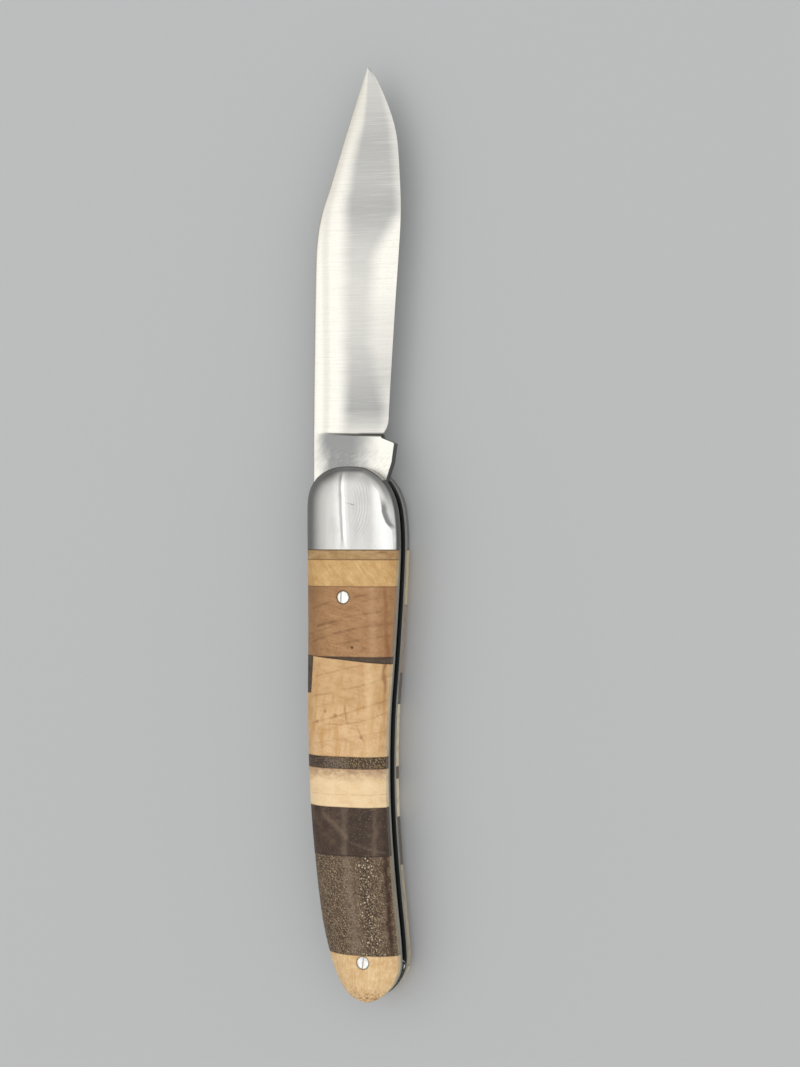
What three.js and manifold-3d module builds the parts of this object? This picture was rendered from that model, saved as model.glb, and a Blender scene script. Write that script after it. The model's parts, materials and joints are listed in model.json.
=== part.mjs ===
// Folding pocket knife with a slip joint, shown open, with scales of glued wood blocks.
// Millimetres. The origin is on the pivot's axis, on the plane that the knife lies on.
// +Y points to the blade's tip, +X to the cutting edge and +Z up.

import * as THREE from 'three';
import { mergeVertices } from 'three/addons/utils/BufferGeometryUtils.js';
import Module from 'manifold-3d';

const wasm = await Module();
wasm.setup();

// Thicknesses, from the middle of the slot outwards
const bladeThickness = 2.4;
const slotClearance = 0.1; // on each side of the blade
const linerThickness = 1.0;
const scaleRim = 1.5; // straight edge of a bolster or scale
const scaleRise = 2.6; // height of its rounding above that edge
const roundingInset = 5; // how far the rounding runs in from the outline
const roundingLimit = 0.9; // most of the way to the middle line that it may take
const roundingSteps = 5;
const outlineSteps = 3; // facets between two points of the outline

// Lengths along the knife
const handleLength = 97.9; // pivot to the end of the butt
const tipShortOfButt = 12.5; // where the closed blade's tip stops
const bolsterLength = 9.6; // pivot to the first wood block
const closedDegrees = 178; // swing of the blade from open to closed

// Tang and backspring
const tangFlat = 4.9; // pivot to each flat of the tang
const tangCorner = 3; // radius of the tang's corners
const shoulderHeight = 1.3; // pivot to the stop shoulder of the blade's back
const shoulderGap = 0.3; // shoulder to the end of the spring's nose
const springGap = 0.15; // tang flat to the spring's nose
const noseFlatLength = 4.4; // flat of the nose, measured from the pivot
const reliefLength = 3.2; // slope behind the nose flat
const kickGap = 0.3; // closed kick to the spring
const edgeGap = 0.7; // closed cutting edge to the spring
const tipGap = 1.2; // closed tip to the spring's tail
const tailLip = 7.3; // butt end to where the tail closes the mouth of the slot

// Pins and their holes
const pivotPinDiameter = 3.2;
const handlePinDiameter = 2.38;
const springPinDiameter = 2.0;
const pinGap = 0.1; // between a pin and its hole
const bladeHoleGap = 0.1; // between the pivot pin and the blade
const pinSides = 24;
const frontPinX = -2.03;
const frontPinBehindBolster = 9.3;
const rearPinX = 2.05;
const rearPinFromButt = 8.25;
const springPinX = -8.35;
const springPinFromPivot = 40;

// Grind of the blade
const spineLand = 0.8; // flat band along each side of the back
const spineCrown = 0.72; // share of the thickness left on top of the back
const edgeHalfThickness = 0.24; // behind the sharpened bevel
const edgeBevel = 0.5; // width of the sharpened bevel
const hollowPower = 1.3; // 1 is a flat grind, more is hollower
const fullWidth = 17.3; // width at which the back has its full thickness
const plungeHeight = 12.9; // pivot to the line where the flat ends and the grind begins
const grindOverlap = 0.7; // how far the ground part reaches into the flat
const narrowShare = 0.25; // most of a narrow section's width that the land or the bevel takes
const tipBlunting = 0.15; // what the last section leaves off the point
const bladeStations = 22;
const choilSections = [0.6, 1.4, 2.4]; // more sections where the edge curves in, from the plunge line
const stationCrowding = 1.5; // 1 is even spacing, more crowds the sections towards the tip
const hollowShares = [0, 0.25, 0.5, 0.75, 1]; // places of the section's points across the grind

// Nail nick, on the lower face
const nickRadius = 26;
const nickWidth = 1.1;
const nickDepth = 0.55;
const nickTilt = 0.45; // radians
const nickBelowBack = 2.9;
const nickFromTip = 38;
const nickSteps = 12;

// Slanted joint above the maple block of the upper scale, with a dark wedge and a dark sliver
const wedgeTipX = -8; // the slant crosses the end of the cherry block here
const slantDrop = 0.09; // fall of the slant for each millimetre towards the mouth
const sliverTopWidth = 1.7; // from the back edge of the handle
const sliverEndWidth = 1.1;
const sliverLength = 7.2;
const glueLine = 0.1; // between pieces that meet on a slant

// Wood blocks from the bolster to the butt, with the length of each.
// The maple block of a scale takes what is left in its middle.
const wood = {
  tan: 0xc8a069,
  yellow: 0xe1b978,
  cherry: 0xb2825c,
  maple: 0xe1b987,
  dark: 0x554b41,
  pale: 0xf0d2a5,
  walnut: 0x55463e,
  porous: 0x786450,
  butt: 0xebc896,
};
const upperBlocks = [
  ['upper_tan_strip', 2, wood.tan],
  ['upper_yellow_block', 5.2, wood.yellow],
  ['upper_cherry_block', 13.7, wood.cherry],
  ['upper_maple_block', null, wood.maple],
  ['upper_dark_band', 2.3, wood.dark],
  ['upper_pale_block', 7.5, wood.pale],
  ['upper_walnut_block', 9.4, wood.walnut],
  ['upper_porous_block', 19.15, wood.porous],
  ['upper_butt_block', 9.65, wood.butt],
];
const lowerBlocks = [
  ['lower_yellow_block', 11, wood.yellow],
  ['lower_cherry_block', 13.5, wood.cherry],
  ['lower_dark_block', 6, wood.dark],
  ['lower_maple_block', null, wood.maple],
  ['lower_dark_band', 2.3, wood.dark],
  ['lower_pale_block', 7.6, wood.pale],
  ['lower_walnut_block', 9.3, wood.walnut],
  ['lower_porous_block', 19.9, wood.porous],
  ['lower_butt_block', 6.3, wood.butt],
];

// Points given as [x, distance] from the butt, from the tip or from the plunge of the grind
const bladeReach = handleLength - tipShortOfButt;
const fromButt = ([x, distance]) => [x, distance - handleLength];
const fromTip = ([x, distance]) => [x, bladeReach - distance];
const fromPlunge = ([x, distance]) => [x, plungeHeight + distance];

// Outline of the handle, anticlockwise: the mouth side, the round front, the back and the butt
const handleOutline = [
  ...[[8.42, 7], [8.3, 11.2], [7.13, 23], [6.04, 38.8]].map(fromButt),
  [6.1, -43.3],
  [6.94, -31.5],
  [7.92, -15.8],
  [8.1, -5.9],
  [7.23, 0],
  [5.15, 3.84],
  [1.9, 6.1],
  [-1.8, 6.6],
  [-5.2, 6.25],
  [-8, 4.8],
  [-9.65, 2.7],
  [-10.32, 0.4],
  [-10.46, -4],
  [-10.36, -14],
  [-10.3, -27],
  [-10.35, -42],
  ...[[-9.77, 38.8], [-8.27, 23], [-7.13, 15.2], [-5.7, 9.4], [-4.15, 5.1], [-1.75, 1.45]].map(fromButt),
  ...[[1.6, 0], [4.4, 0.9], [6.5, 2.75], [7.85, 4.95]].map(fromButt),
];

// Middle line that the rounding of a scale runs towards
const handleMiddle = [
  [-1.4, 0.5],
  [-1.2, -15],
  [-2.1, -43],
  ...[[-1.6, 35], [-0.5, 23], [1.6, 8]].map(fromButt),
];

// Back and cutting edge of the blade, from the flat to the tip
const tipX = 0.83;
const bladeBack = [
  fromPlunge([-10.32, -0.9]),
  [-10.14, 28.4],
  ...[[-9.85, 39.5], [-9.62, 35], [-8.75, 29.4], [-6.7, 23.4], [-2.7, 10.8], [tipX, 0]].map(fromTip),
];
const bladeEdge = [
  ...[[3.75, -0.9], [4.34, 0.6], [4.74, 1.4], [5.03, 2.4], [5.15, 4.2]].map(fromPlunge),
  [5.53, 23.3],
  [6.5, 38.4],
  ...[[7.48, 32.9], [7.65, 28.4], [7.38, 20.9], [6.67, 13.3]].map(fromTip),
  ...[[4.79, 7.3], [2.17, 1.8], [tipX, 0]].map(fromTip),
];
const kick = fromPlunge([6.65, -1.75]);
const kickRadius = 0.3;
const kickSide = fromPlunge([6.1, -5.5]);
const choil = fromPlunge([3.75, -0.6]);
const choilRadius = 0.4;

// How much of the blade's front the spring's inner edge follows, as distances from the tip
const springFollows = [28.4, 24, 20, 16, 13, 10, 7, 4, 1.8];

// Heights that follow from the thicknesses
const springHalf = bladeThickness / 2 + slotClearance;
const linerOuter = springHalf + linerThickness;
const halfThickness = linerOuter + scaleRim + scaleRise;
const middleZ = halfThickness;
const knifeThickness = 2 * halfThickness;

// How far a cutter reaches past what it cuts
const beyond = 30;

const toPoint = ([x, y]) => new THREE.Vector2(x, y);

// Smooth closed curve through the points
function closedCurve(points, stepsPerPoint) {
  const places = points.map(([x, y]) => new THREE.Vector3(x, y, 0));
  const curve = new THREE.CatmullRomCurve3(places, true, 'centripetal');
  const path = curve.getPoints(points.length * stepsPerPoint).slice(0, -1);
  return path.map((p) => new THREE.Vector2(p.x, p.y));
}

// Smooth x for any y along points that climb in y
function heightCurve(points) {
  const slope = (i) => {
    const [x0, y0] = points[Math.max(i - 1, 0)];
    const [x1, y1] = points[Math.min(i + 1, points.length - 1)];
    return (x1 - x0) / (y1 - y0);
  };
  return (y) => {
    const next = Math.max(1, points.findIndex((p) => p[1] >= y));
    const [x0, y0] = points[next - 1];
    const [x1, y1] = points[next];
    const span = y1 - y0;
    const t = (y - y0) / span;
    const start = (1 + 2 * t) * (1 - t) ** 2 * x0 + t * (1 - t) ** 2 * span * slope(next - 1);
    const end = t * t * (3 - 2 * t) * x1 + t * t * (t - 1) * span * slope(next);
    return start + end;
  };
}

// Outline through corners [x, y, radius], with an arc at each corner that has a radius
function roundedOutline(corners, arcSteps = 6) {
  return corners.flatMap((corner, i) => {
    const [, , radius] = corner;
    const point = toPoint(corner);
    if (!radius) return [point];
    const before = toPoint(corners.at(i - 1)).sub(point).normalize();
    const after = toPoint(corners[(i + 1) % corners.length]).sub(point).normalize();
    const half = Math.acos(before.dot(after)) / 2;
    const start = before.clone().multiplyScalar(radius / Math.tan(half));
    const centre = before.clone().add(after).setLength(radius / Math.sin(half));
    const turn = Math.sign(after.cross(before)) * (Math.PI - 2 * half);
    const arc = [];
    for (let k = 0; k <= arcSteps; k++) {
      arc.push(start.clone().rotateAround(centre, (turn * k) / arcSteps).add(point));
    }
    return arc;
  });
}

// Where a point of the open blade lies when the blade is closed
function whenClosed(point) {
  const turn = -THREE.MathUtils.degToRad(closedDegrees);
  const turned = toPoint(point).rotateAround(new THREE.Vector2(), turn);
  return [turned.x, turned.y];
}

// Nearest point of a chain of straight lines
function nearestOn(chain, point) {
  const places = chain.map(([x, y]) => new THREE.Vector3(x, y, 0));
  const start = new THREE.Vector3(point.x, point.y, 0);
  let best = null;
  for (let i = 0; i + 1 < places.length; i++) {
    const line = new THREE.Line3(places[i], places[i + 1]);
    const place = line.closestPointToPoint(start, true, new THREE.Vector3());
    const found = new THREE.Vector2(place.x, place.y);
    if (!best || found.distanceTo(point) < best.distanceTo(point)) best = found;
  }
  return best;
}

function solidOf(geometry) {
  const bare = geometry.clone();
  bare.deleteAttribute('normal');
  bare.deleteAttribute('uv');
  const merged = mergeVertices(bare);
  return new wasm.Manifold(
    new wasm.Mesh({
      numProp: 3,
      vertProperties: merged.attributes.position.array,
      triVerts: Uint32Array.from(merged.index.array),
    }),
  );
}

function geometryOf(solid) {
  const { vertProperties, numProp, triVerts } = solid.getMesh();
  const geometry = new THREE.BufferGeometry();
  geometry.setAttribute('position', new THREE.BufferAttribute(vertProperties, numProp));
  geometry.setIndex(new THREE.BufferAttribute(triVerts, 1));
  geometry.computeVertexNormals();
  return geometry;
}

// Solid through rings of equal count, each anticlockwise seen from the far end of the stack
function loft(rings) {
  const count = rings[0].length;
  const last = (rings.length - 1) * count;
  const faces = [];
  for (let base = 0; base < last; base += count) {
    for (let i = 0; i < count; i++) {
      const a = base + i;
      const b = base + ((i + 1) % count);
      faces.push(a, b, b + count, a, b + count, a + count);
    }
  }
  const flat = (ring) => ring.map((p) => new THREE.Vector2(p.x, p.y));
  const capOf = (ring) => THREE.ShapeUtils.triangulateShape(flat(ring), []);
  for (const [a, b, c] of capOf(rings[0])) faces.push(c, b, a);
  for (const [a, b, c] of capOf(rings.at(-1))) faces.push(last + a, last + b, last + c);
  const places = rings.flat().flatMap((point) => point.toArray());
  const geometry = new THREE.BufferGeometry();
  geometry.setAttribute('position', new THREE.Float32BufferAttribute(places, 3));
  geometry.setIndex(faces);
  return geometry;
}

// Plate with the given outline between two heights
function plate(border, low, high) {
  const options = { depth: high - low, bevelEnabled: false };
  const geometry = new THREE.ExtrudeGeometry(new THREE.Shape(border), options);
  return solidOf(geometry.translate(0, 0, low));
}

function rod(diameter, x, y, low, high) {
  const geometry = new THREE.CylinderGeometry(diameter / 2, diameter / 2, high - low, pinSides);
  geometry.rotateX(Math.PI / 2);
  return solidOf(geometry.translate(x, y, (low + high) / 2));
}

// Slice of the knife between two distances along it
function slice(lowY, highY) {
  const box = new THREE.BoxGeometry(2 * beyond, highY - lowY, 2 * beyond);
  return solidOf(box.translate(0, (lowY + highY) / 2, middleZ));
}

// Pins: what each one passes through follows from its ends
const frontPin = [frontPinX, -bolsterLength - frontPinBehindBolster];
const rearPin = fromButt([rearPinX, rearPinFromButt]);
const springPin = [springPinX, -springPinFromPivot];
const slotFloor = middleZ - springHalf;
const slotCeiling = middleZ + springHalf;
const pins = [
  { name: 'pivot_pin', diameter: pivotPinDiameter, at: [0, 0], low: 0, high: knifeThickness },
  { name: 'rear_pin', diameter: handlePinDiameter, at: rearPin, low: 0, high: knifeThickness },
  {
    name: 'upper_front_pin',
    diameter: handlePinDiameter,
    at: frontPin,
    low: slotCeiling,
    high: knifeThickness,
  },
  { name: 'lower_front_pin', diameter: handlePinDiameter, at: frontPin, low: 0, high: slotFloor },
  {
    name: 'spring_pin',
    diameter: springPinDiameter,
    at: springPin,
    low: slotFloor - linerThickness,
    high: slotCeiling + linerThickness,
  },
];

function withPinHoles(solid) {
  const holes = pins.map((pin) => rod(pin.diameter + 2 * pinGap, ...pin.at, pin.low, pin.high));
  return holes.reduce((drilled, hole) => drilled.subtract(hole), solid);
}

// One side of the handle outside its liner, rounded from the rim to a flat crown
const outline = closedCurve(handleOutline, outlineSteps);
const roundingRadius = (roundingInset ** 2 + scaleRise ** 2) / (2 * scaleRise);
const roundingStart = Math.asin(roundingInset / roundingRadius);

function handleSide(side) {
  const ringAt = (share, height) =>
    outline.map((point) => {
      const inward = nearestOn(handleMiddle, point).sub(point);
      inward.setLength(share * Math.min(roundingInset, roundingLimit * inward.length()));
      const place = point.clone().add(inward);
      return new THREE.Vector3(place.x, place.y, middleZ + side * (linerOuter + height));
    });
  const rings = [ringAt(0, 0)];
  for (let k = 0; k <= roundingSteps; k++) {
    const angle = roundingStart * (1 - k / roundingSteps);
    const share = 1 - Math.sin(angle) / Math.sin(roundingStart);
    rings.push(ringAt(share, scaleRim + scaleRise - roundingRadius * (1 - Math.cos(angle))));
  }
  return withPinHoles(solidOf(loft(side > 0 ? rings : rings.reverse())));
}

const upperSide = handleSide(1);
const lowerSide = handleSide(-1);
const bolsterEnd = -bolsterLength;

// Section of the ground blade at a distance from the pivot, anticlockwise seen from the tip
const backX = heightCurve(bladeBack);
const edgeX = heightCurve(bladeEdge);

function bladeSection(y) {
  const back = backX(y);
  const edge = edgeX(y);
  const width = edge - back;
  const thicknessAt = (x) => {
    const rise = Math.max(0, (edge - x) / fullWidth) ** hollowPower;
    return edgeHalfThickness + (bladeThickness / 2 - edgeHalfThickness) * Math.min(1, rise);
  };
  const land = Math.min(spineLand, narrowShare * width);
  const bevel = Math.min(edgeBevel, narrowShare * width);
  const half = [[back, spineCrown * thicknessAt(back)]];
  for (const share of hollowShares) {
    const x = back + land + share * (width - land - bevel);
    half.push([x, thicknessAt(x)]);
  }
  const lower = half.map(([x, z]) => [x, -z]).reverse();
  return [...half, [edge, 0], ...lower].map(([x, z]) => new THREE.Vector3(x, -z, y));
}

function groundBlade() {
  const start = plungeHeight - grindOverlap;
  const heights = [start, ...choilSections.map((above) => plungeHeight + above)];
  for (let k = 1; k < bladeStations; k++) {
    const along = 1 - (1 - k / (bladeStations - 1)) ** stationCrowding;
    heights.push(start + along * (bladeReach - tipBlunting - start));
  }
  const rings = heights.map(bladeSection);
  return solidOf(loft(rings).rotateX(-Math.PI / 2).translate(0, 0, middleZ));
}

// Flat of the blade with its kick, and the tang that turns on the pivot pin
function tangPlate() {
  const closedTilt = THREE.MathUtils.degToRad(180 - closedDegrees);
  const closedCornerX = (tangFlat * (1 - Math.sin(closedTilt))) / Math.cos(closedTilt);
  const closedFlatEnd = toPoint([tangFlat, noseFlatLength]);
  closedFlatEnd.rotateAround(new THREE.Vector2(), -closedTilt);
  const corners = [
    [backX(plungeHeight), plungeHeight],
    [backX(plungeHeight), shoulderHeight],
    [-tangFlat, shoulderHeight],
    [-tangFlat, -tangFlat, tangCorner],
    [closedCornerX, -tangFlat, tangCorner],
    [closedFlatEnd.x, closedFlatEnd.y],
    kickSide,
    [...kick, kickRadius],
    [...choil, choilRadius],
    [edgeX(plungeHeight), plungeHeight],
  ];
  return plate(roundedOutline(corners), middleZ - bladeThickness / 2, middleZ + bladeThickness / 2);
}

// Disc-shaped cutter that leaves a crescent for the fingernail in the lower face
function nickCutter() {
  const chordOutside = 2 * nickDepth;
  const reach = Math.acos(1 - (nickDepth + chordOutside) / nickRadius);
  const arc = new THREE.Path().absarc(0, 0, nickRadius, Math.PI / 2 - reach, Math.PI / 2 + reach, false);
  const shape = new THREE.Shape(arc.getPoints(nickSteps));
  const geometry = new THREE.ExtrudeGeometry(shape, { depth: nickWidth, bevelEnabled: false });
  const nickY = bladeReach - nickFromTip;
  geometry.translate(0, nickDepth - nickRadius, -nickWidth / 2);
  geometry.rotateX(Math.PI / 2).rotateZ(Math.PI / 2).rotateY(nickTilt);
  return solidOf(geometry.translate(backX(nickY) + nickBelowBack, nickY, middleZ - bladeThickness / 2));
}

const blade = groundBlade()
  .add(tangPlate())
  .subtract(nickCutter())
  .subtract(rod(pivotPinDiameter + 2 * bladeHoleGap, 0, 0, 0, knifeThickness));

// Backspring: everything inside the handle's outline on the back side of the closed blade
function springPlate() {
  const noseX = -tangFlat - springGap;
  const noseTop = shoulderHeight - shoulderGap;
  const [kickX] = whenClosed(kick);
  const reliefX = kickX - kickGap;
  const reliefY = -noseFlatLength - reliefLength;
  const alongEdge = springFollows.map((distance) => {
    const y = bladeReach - distance;
    const [x, closedY] = whenClosed([edgeX(y), y]);
    return [x - edgeGap, closedY];
  });
  const [tipClosedX, tipClosedY] = whenClosed([tipX, bladeReach]);
  const [lipX] = handleOutline[0];
  const region = [
    [-beyond, noseTop],
    [-beyond, -handleLength - beyond],
    [beyond, -handleLength - beyond],
    fromButt([beyond, tailLip - beyond]),
    fromButt([lipX, tailLip]),
    [tipClosedX, tipClosedY - tipGap],
    ...alongEdge.reverse(),
    [reliefX, reliefY],
    [noseX, -noseFlatLength],
    [noseX, noseTop],
  ];
  const inside = plate(region.map(toPoint), slotFloor, slotCeiling);
  return withPinHoles(plate(outline, slotFloor, slotCeiling).intersect(inside));
}

function linerPlate(side) {
  const inner = middleZ + side * springHalf;
  const outer = middleZ + side * linerOuter;
  return withPinHoles(plate(outline, Math.min(inner, outer), Math.max(inner, outer)));
}

const knife = new THREE.Group();

function addPiece(name, solid, finish) {
  const mesh = new THREE.Mesh(geometryOf(solid), new THREE.MeshStandardMaterial(finish));
  mesh.name = name;
  knife.add(mesh);
}

const bladeSteel = { color: 0xb9bcbf, roughness: 0.3, metalness: 1 };
const linerSteel = { color: 0x8d8b84, roughness: 0.45, metalness: 1 };
const nickelSilver = { color: 0xd6d3ca, roughness: 0.15, metalness: 1 };

addPiece('blade', blade, bladeSteel);
addPiece('backspring', springPlate(), bladeSteel);
addPiece('upper_liner', linerPlate(1), linerSteel);
addPiece('lower_liner', linerPlate(-1), linerSteel);
addPiece('upper_bolster', upperSide.intersect(slice(bolsterEnd, beyond)), nickelSilver);
addPiece('lower_bolster', lowerSide.intersect(slice(bolsterEnd, beyond)), nickelSilver);

// Everything below the slant, as seen from above, moved down by a gap
function belowSlant(level, gap) {
  const heightAt = (x) => level - gap - slantDrop * (x - wedgeTipX);
  const corners = [
    [-beyond, heightAt(-beyond)],
    [-beyond, level - 2 * beyond],
    [beyond, level - 2 * beyond],
    [beyond, heightAt(beyond)],
  ];
  return plate(corners.map(toPoint), 0, knifeThickness);
}

// Strip along the back edge of the handle below a level
function sliverSpace(level, gap) {
  const beside = outline.filter((p) => Math.abs(p.y - level) < sliverLength);
  const backEdge = Math.min(...beside.map((p) => p.x));
  const end = level - sliverLength - gap;
  const corners = [
    [-beyond, level + beyond],
    [-beyond, end],
    [backEdge + sliverEndWidth + gap, end],
    [backEdge + sliverTopWidth + gap, level],
    [backEdge + sliverTopWidth + gap, level + beyond],
  ];
  return plate(corners.map(toPoint), 0, knifeThickness);
}

// Slices of one scale, from the bolster to the butt
function scaleBlocks(side, blocks) {
  const given = blocks.reduce((sum, [, length]) => sum + (length ?? 0), 0);
  const left = handleLength - bolsterLength - given;
  let start = bolsterEnd;
  return blocks.map(([name, length, color]) => {
    const end = start - (length ?? left);
    const block = { name, color, start, solid: side.intersect(slice(end, start)) };
    start = end;
    return block;
  });
}

const upperScale = scaleBlocks(upperSide, upperBlocks);
const cherry = upperScale.find((block) => block.name === 'upper_cherry_block');
const maple = upperScale.find((block) => block.name === 'upper_maple_block');
const slantLevel = maple.start;
const slanted = cherry.solid.add(maple.solid);
const aboveSlant = slanted.subtract(belowSlant(slantLevel, 0));
const underSlant = slanted.intersect(belowSlant(slantLevel, glueLine));
cherry.solid = aboveSlant.intersect(slice(slantLevel, beyond));
maple.solid = underSlant.subtract(sliverSpace(slantLevel, glueLine));
const wedge = aboveSlant.intersect(slice(slantLevel - beyond, slantLevel));
const sliver = underSlant.intersect(sliverSpace(slantLevel, 0));

for (const block of [...upperScale, ...scaleBlocks(lowerSide, lowerBlocks)]) {
  addPiece(block.name, block.solid, { color: block.color, roughness: 0.5 });
}
addPiece('upper_dark_wedge', wedge, { color: wood.dark, roughness: 0.5 });
addPiece('upper_dark_sliver', sliver, { color: wood.dark, roughness: 0.5 });

for (const pin of pins) {
  addPiece(pin.name, rod(pin.diameter, ...pin.at, pin.low, pin.high), nickelSilver);
}

export default knife;
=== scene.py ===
"""Looks of a folding pocket knife around its packed construction. Sizes here are in millimetres."""

import json
import math
from contextlib import contextmanager

import bmesh
import bpy
import numpy as np
from mathutils import Matrix, Vector
from mathutils.geometry import delaunay_2d_cdt


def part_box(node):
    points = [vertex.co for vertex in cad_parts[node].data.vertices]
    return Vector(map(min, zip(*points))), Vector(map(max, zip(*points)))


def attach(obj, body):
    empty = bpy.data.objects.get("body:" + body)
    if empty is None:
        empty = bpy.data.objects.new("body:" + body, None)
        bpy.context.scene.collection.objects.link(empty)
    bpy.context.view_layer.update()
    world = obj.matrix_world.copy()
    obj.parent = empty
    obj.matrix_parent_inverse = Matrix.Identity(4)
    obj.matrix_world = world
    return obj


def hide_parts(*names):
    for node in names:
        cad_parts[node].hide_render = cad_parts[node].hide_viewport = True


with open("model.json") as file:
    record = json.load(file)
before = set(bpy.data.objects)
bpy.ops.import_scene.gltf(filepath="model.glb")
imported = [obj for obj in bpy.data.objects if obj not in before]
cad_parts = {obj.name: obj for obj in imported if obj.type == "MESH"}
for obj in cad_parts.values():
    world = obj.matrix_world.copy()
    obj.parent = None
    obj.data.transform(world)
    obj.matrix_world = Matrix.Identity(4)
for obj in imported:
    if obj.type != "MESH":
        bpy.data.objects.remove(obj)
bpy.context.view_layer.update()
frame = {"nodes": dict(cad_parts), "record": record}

MM = 0.001
WELD = 1e-4

# Rounding of the handle's sides
RIM = 1.5  # straight edge of a bolster or scale
RISE = 2.6  # from that edge to the crown
INSET = 5.0  # how far the rounding runs in from the outline
CROWN = 0.2  # the part of that rise which the slight curve of the middle takes
CROWN_INSET = 7.6  # and how far in that curve runs
BACK_CREASE = 0.9  # 1 is no crease where the rounding of the back meets the flat
NORMAL_INSET = 3.0  # rings run square to the outline this far, and then towards the middle line
MIDDLE_SHARE = 0.75  # and take no more than this share of the way to it
SIDE_WELD = 0.02
RIM_BREAK = 0.05  # broken edge where a side meets its liner
OUTLINE_COUNT = 380
ROUNDING_STEPS = 12
CROWN_SHARES = (0.22, 0.45, 0.7, 0.93)  # places of the rings from the rounding to the middle line

# Slanted joint of the upper scale, and the sliver below it along the back
SLANT_X = -8.0  # where the joint is level with the end of its block
SLANT_DROP = 0.09  # slope from there
SLIVER_TOP = 1.7  # width at its upper end
SLIVER_END = 1.1  # and at its lower one
SLIVER_LENGTH = 7.2
GLUE = 0.03  # gap that the glue fills
CLEAR = 5  # how far a cutter reaches beyond what it cuts

# Grind of the blade
LAND = 0.9  # flat strip left along the back
LAND_SHARE = 0.22  # which takes no more than this share of the blade's width
BACK_ROUND = 0.35  # rounding of the back's corners, across the blade
BACK_DROP = 0.15  # and through its thickness
EDGE_HALF = 0.22  # half thickness behind the sharpened bevel
BEVEL = 0.5
BEVEL_SHARE = 0.2
GRIND_RADIUS = 105.0  # of the wheel that ground the hollow
TAPER_WIDTH = 14.0  # a narrower blade is thinner at its back too
PLUNGE_RISE = 0.3  # how much the plunge line is higher at the back, and lower at the edge
PLUNGE_BACK = -9.0  # its x at the back
PLUNGE_SPAN = 13.0  # and from there to the edge
PLUNGE_WALL = 0.38
PLUNGE_CORNER = 1.1
BACK_SIDE = -6.0  # left of this x only the back borders the blade
SHARP_START = 1.2  # the edge is sharp from here on above the plunge line
CORNER_BREAK = 0.03

# Nail nick, left by a disc that leans into the lower face
NICK_RADIUS = 26.0
NICK_WIDTH = 1.1
NICK_DEPTH = 0.55
NICK_LEAN = 0.45  # radians
NICK_FROM_TIP = 37.85
NICK_FROM_BACK = 2.9

RIDGE_X = -2.5  # soft ridge along the bolster
PIN_RING = 0.06
HAIRLINE = 0.002  # round the pivot pin
PIN_DOME = 0.05
PIN_DROP = 0.01  # a dome's middle lies this far under the surface of its side
PIN_RIM = 0.04  # extra fall at a dome's rim
DOME_SHARES = (0.02, 0.35, 0.65, 0.88, 0.97, 1.0)  # radii of a dome's rings
FLUSH = 0.04  # share of the dome left on the pivot pin, ground off with its bolsters


def box(node):
    """Lowest and highest corner of a CAD node, in millimetres."""
    low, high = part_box(node)
    return low / MM, high / MM


blade_low, blade_high = box("blade")
liner_low, liner_high = box("upper_liner")
spring_low, spring_high = box("backspring")
MIDDLE = (blade_low.z + blade_high.z) / 2
BLADE_HALF = (blade_high.z - blade_low.z) / 2
SPRING_HALF = (spring_high.z - spring_low.z) / 2
LINER_OUTER = liner_high.z - MIDDLE
HANDLE_END = liner_low.y
BOLSTER_END = box("upper_bolster")[0].y


def flat_loops(node, level):
    """Border loops of a node's flat face at a height, the longest first."""
    bm = bmesh.new()
    bm.from_mesh(frame["nodes"][node].data)
    bmesh.ops.remove_doubles(bm, verts=bm.verts, dist=WELD * MM)
    flat = [f for f in bm.faces if all(abs(v.co.z / MM - level) < WELD for v in f.verts)]
    inside = set(flat)
    following = {}
    for face in flat:
        for loop in face.loops:
            if loop.link_loop_radial_next.face not in inside:
                following[loop.vert] = loop.link_loop_next.vert
    loops = []
    while following:
        vert, after = following.popitem()
        loop = [vert]
        while after in following:
            loop.append(after)
            after = following.pop(after)
        loops.append(np.array([v.co.xy / MM for v in loop]))
    bm.free()
    return sorted(loops, key=len, reverse=True)


def resampled(points, count, steps=12):
    """Smooth closed curve through the points, as evenly spaced points."""

    def between(a, b, start, end, at):
        return (a * (end - at) + b * (at - start)) / (end - start)

    dense = []
    for i in range(len(points)):
        p = [points[(i + k) % len(points)] for k in (-1, 0, 1, 2)]
        t = [0.0]
        for a, b in zip(p, p[1:]):
            t.append(t[-1] + math.sqrt(np.linalg.norm(b - a)))
        for u in np.linspace(t[1], t[2], steps, endpoint=False):
            first, second, third = (between(p[k], p[k + 1], t[k], t[k + 1], u) for k in range(3))
            before = between(first, second, t[0], t[2], u)
            after = between(second, third, t[1], t[3], u)
            dense.append(between(before, after, t[1], t[2], u))
    closed = np.array(dense + dense[:1])
    along = np.concatenate([[0], np.cumsum(np.linalg.norm(np.diff(closed, axis=0), axis=1))])
    at = np.linspace(0, along[-1], count, endpoint=False)
    return np.column_stack([np.interp(at, along, closed[:, k]) for k in (0, 1)])


OUTLINE = resampled(flat_loops("upper_liner", liner_high.z)[0], OUTLINE_COUNT)
OUTLINE = np.clip(OUTLINE, liner_low.xy, liner_high.xy)
tangents = np.roll(OUTLINE, -1, 0) - np.roll(OUTLINE, 1, 0)
tangents /= np.linalg.norm(tangents, axis=1)[:, None]
INWARD = np.column_stack([-tangents[:, 1], tangents[:, 0]])

# Middle line that the rounding of a side runs towards, from the round front to the butt
MIDDLE_LINE = np.array([
    (-1.4, 0.5),
    (-1.2, -15.0),
    (-2.1, -43.0),
    (-1.6, HANDLE_END + 35),
    (-0.5, HANDLE_END + 23),
    (1.6, HANDLE_END + 8),
])


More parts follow.
